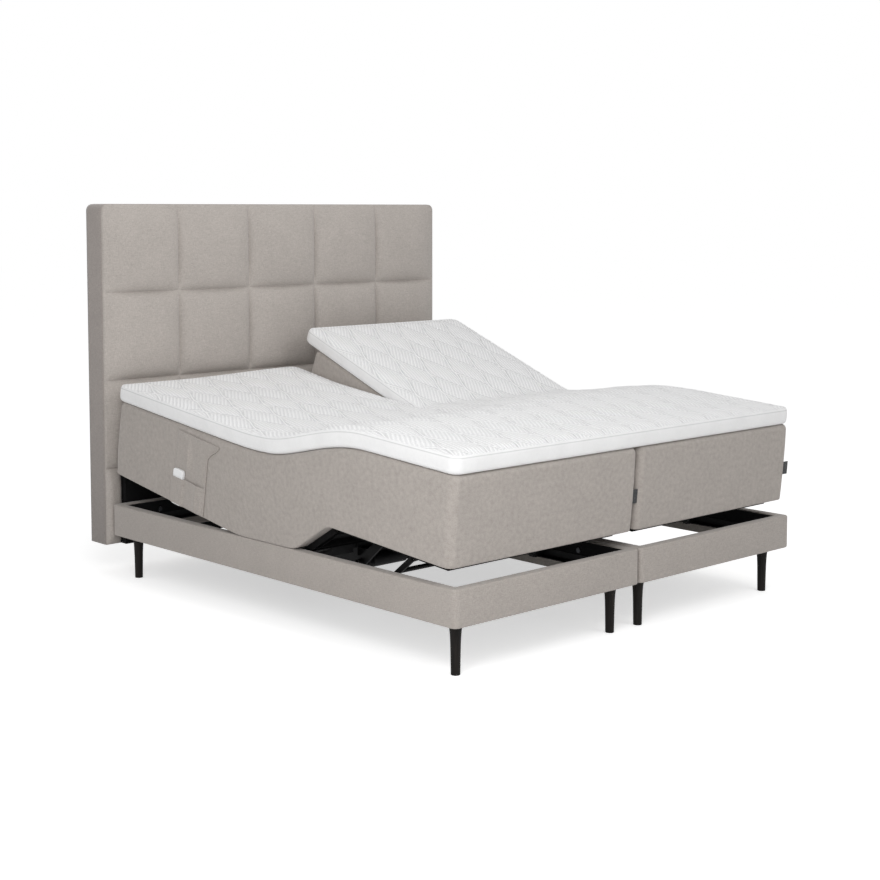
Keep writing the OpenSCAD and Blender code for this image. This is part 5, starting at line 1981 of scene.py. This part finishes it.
@dataclass
class Studio:
    """The pale floor, the backdrop's light and the lamps."""

    world: float = 0.50
    floor_glow: float = 0.57
    lamps: tuple[tuple[float, Point3, Point3, float], ...] = (
        (1.8, (-3.0, -2.4, 2.2), (-0.5, -0.3, 0.6), 58.0),
        (2.8, (0.8, -5.0, 4.0), (0.0, 0.0, 0.6), 46.0),
        (2.4, (0.0, -0.2, 4.2), (0.0, 0.0, 0.5), 25.0),
    )

    def build(self) -> None:
        """Builds the floor, the world and the lamps."""
        self._floor()
        self._world()
        for i, (size, spot, aim, power) in enumerate(self.lamps):
            light = bpy.data.lights.new(f"softbox_{i}", "AREA")
            light.shape, light.size, light.energy = "SQUARE", size, power
            obj = bpy.data.objects.new(light.name, light)
            obj.location = spot
            obj.rotation_mode = "QUATERNION"
            way = Vector(aim) - Vector(spot)
            obj.rotation_quaternion = way.to_track_quat("-Z", "Y")
            bpy.context.scene.collection.objects.link(obj)

    def _floor(self) -> None:
        """A wide pale floor that keeps the bed's soft shadow.

        It is white to the camera and in reflections, and pale to everything else.
        """
        bm = bmesh.new()
        bmesh.ops.create_grid(bm, x_segments=1, y_segments=1, size=30)
        floor = to_object(bm, "floor", smooth=False)
        material = bpy.data.materials.new("studio floor")
        material.use_nodes = True
        bench = Bench(material.node_tree)
        bench.feed(
            material.node_tree.nodes["Principled BSDF"],
            {
                "Roughness": 0.9,
                "Specular IOR Level": 0.0,
                "Base Color": (0.86, 0.86, 0.86, 1),
                "Emission Color": (1, 1, 1, 1),
                "Emission Strength": bench.times(bench.seen(), self.floor_glow),
            },
        )
        floor.data.materials.append(material)

    def _world(self) -> None:
        """A soft white surrounding."""
        world = bpy.data.worlds.new("studio")
        world.use_nodes = True
        bpy.context.scene.world = world
        bench = Bench(world.node_tree)
        strength = bench.node("Mix", {0: bench.seen(), 2: self.world, 3: 1.0}).outputs[0]
        back = world.node_tree.nodes["Background"]
        bench.feed(back, {"Strength": strength, "Color": (1, 1, 1, 1)})


@dataclass(frozen=True)
class Eye:
    """The camera."""

    spot: Point3 = (-4.2791, -4.5904, 1.4829)
    yaw: float = 42.998
    pitch: float = 4.522
    lens: float = 65.145
    shift: Point = (0.01, -0.12)

    def build(self) -> None:
        """Sets the camera up."""
        data = bpy.data.cameras.new("camera")
        data.sensor_width, data.lens = 36.0, self.lens
        data.shift_x, data.shift_y = self.shift
        data.clip_start, data.clip_end = 0.05, 80
        obj = bpy.data.objects.new("camera", data)
        obj.location = self.spot
        obj.rotation_euler = (math.radians(90 - self.pitch), 0, -math.radians(self.yaw))
        bpy.context.scene.collection.objects.link(obj)
        bpy.context.scene.camera = obj


SOLID_SKINS = (
    (Skin.ZINC, ("connecting_bolts", "hinge_pins")),
    (Skin.STEEL, ("headboard_brackets", "leg_plates", "mechanism_frame", "_lift", "_strut")),
    (Skin.LINING, ("base_linings", "headboard_lining")),
    (Skin.DRIVE, ("control_boxes", "_drive")),
    (Skin.BOARD, ("headboard_board",)),
    (Skin.HANDSET, ("handset",)),
    (Skin.NYLON, ("_rollers",)),
    (Skin.DECK, ("_deck",)),
    (Skin.KEY, ("key_",)),
    (Skin.LEG, ("legs",)),
)


def dress_solids(nodes: dict[str, Piece]) -> None:
    """Gives every solid its finish, by the words in its name."""
    for name, obj in nodes.items():
        found = (skin for skin, words in SOLID_SKINS if any(w in name for w in words))
        obj.data.materials.clear()
        obj.data.materials.append(next(found, Skin.GREIGE_RAIL).material())


def main() -> None:
    """Builds the dressed bed piece by piece."""
    logging.basicConfig(level=logging.INFO, format="%(message)s")
    for leftover in list(bpy.data.objects):
        bpy.data.objects.remove(leftover)
    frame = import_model()
    bpy.context.scene.view_settings.view_transform = "Standard"
    Eye().build()
    Studio().build()
    dress_solids(frame["nodes"])
    for builder in (
        PadFront(),
        HeadboardCloths(),
        *(BaseRails(side) for side in Side),
        *(Boxes(side) for side in Side),
        Topper(),
        Pocket(),
        Handset(),
        *(SeamFlag(side) for side in Side),
    ):
        for piece in builder.build():
            log.info("%s: %d faces", piece.name, len(piece.data.polygons))


if __name__ == "__main__":
    main()
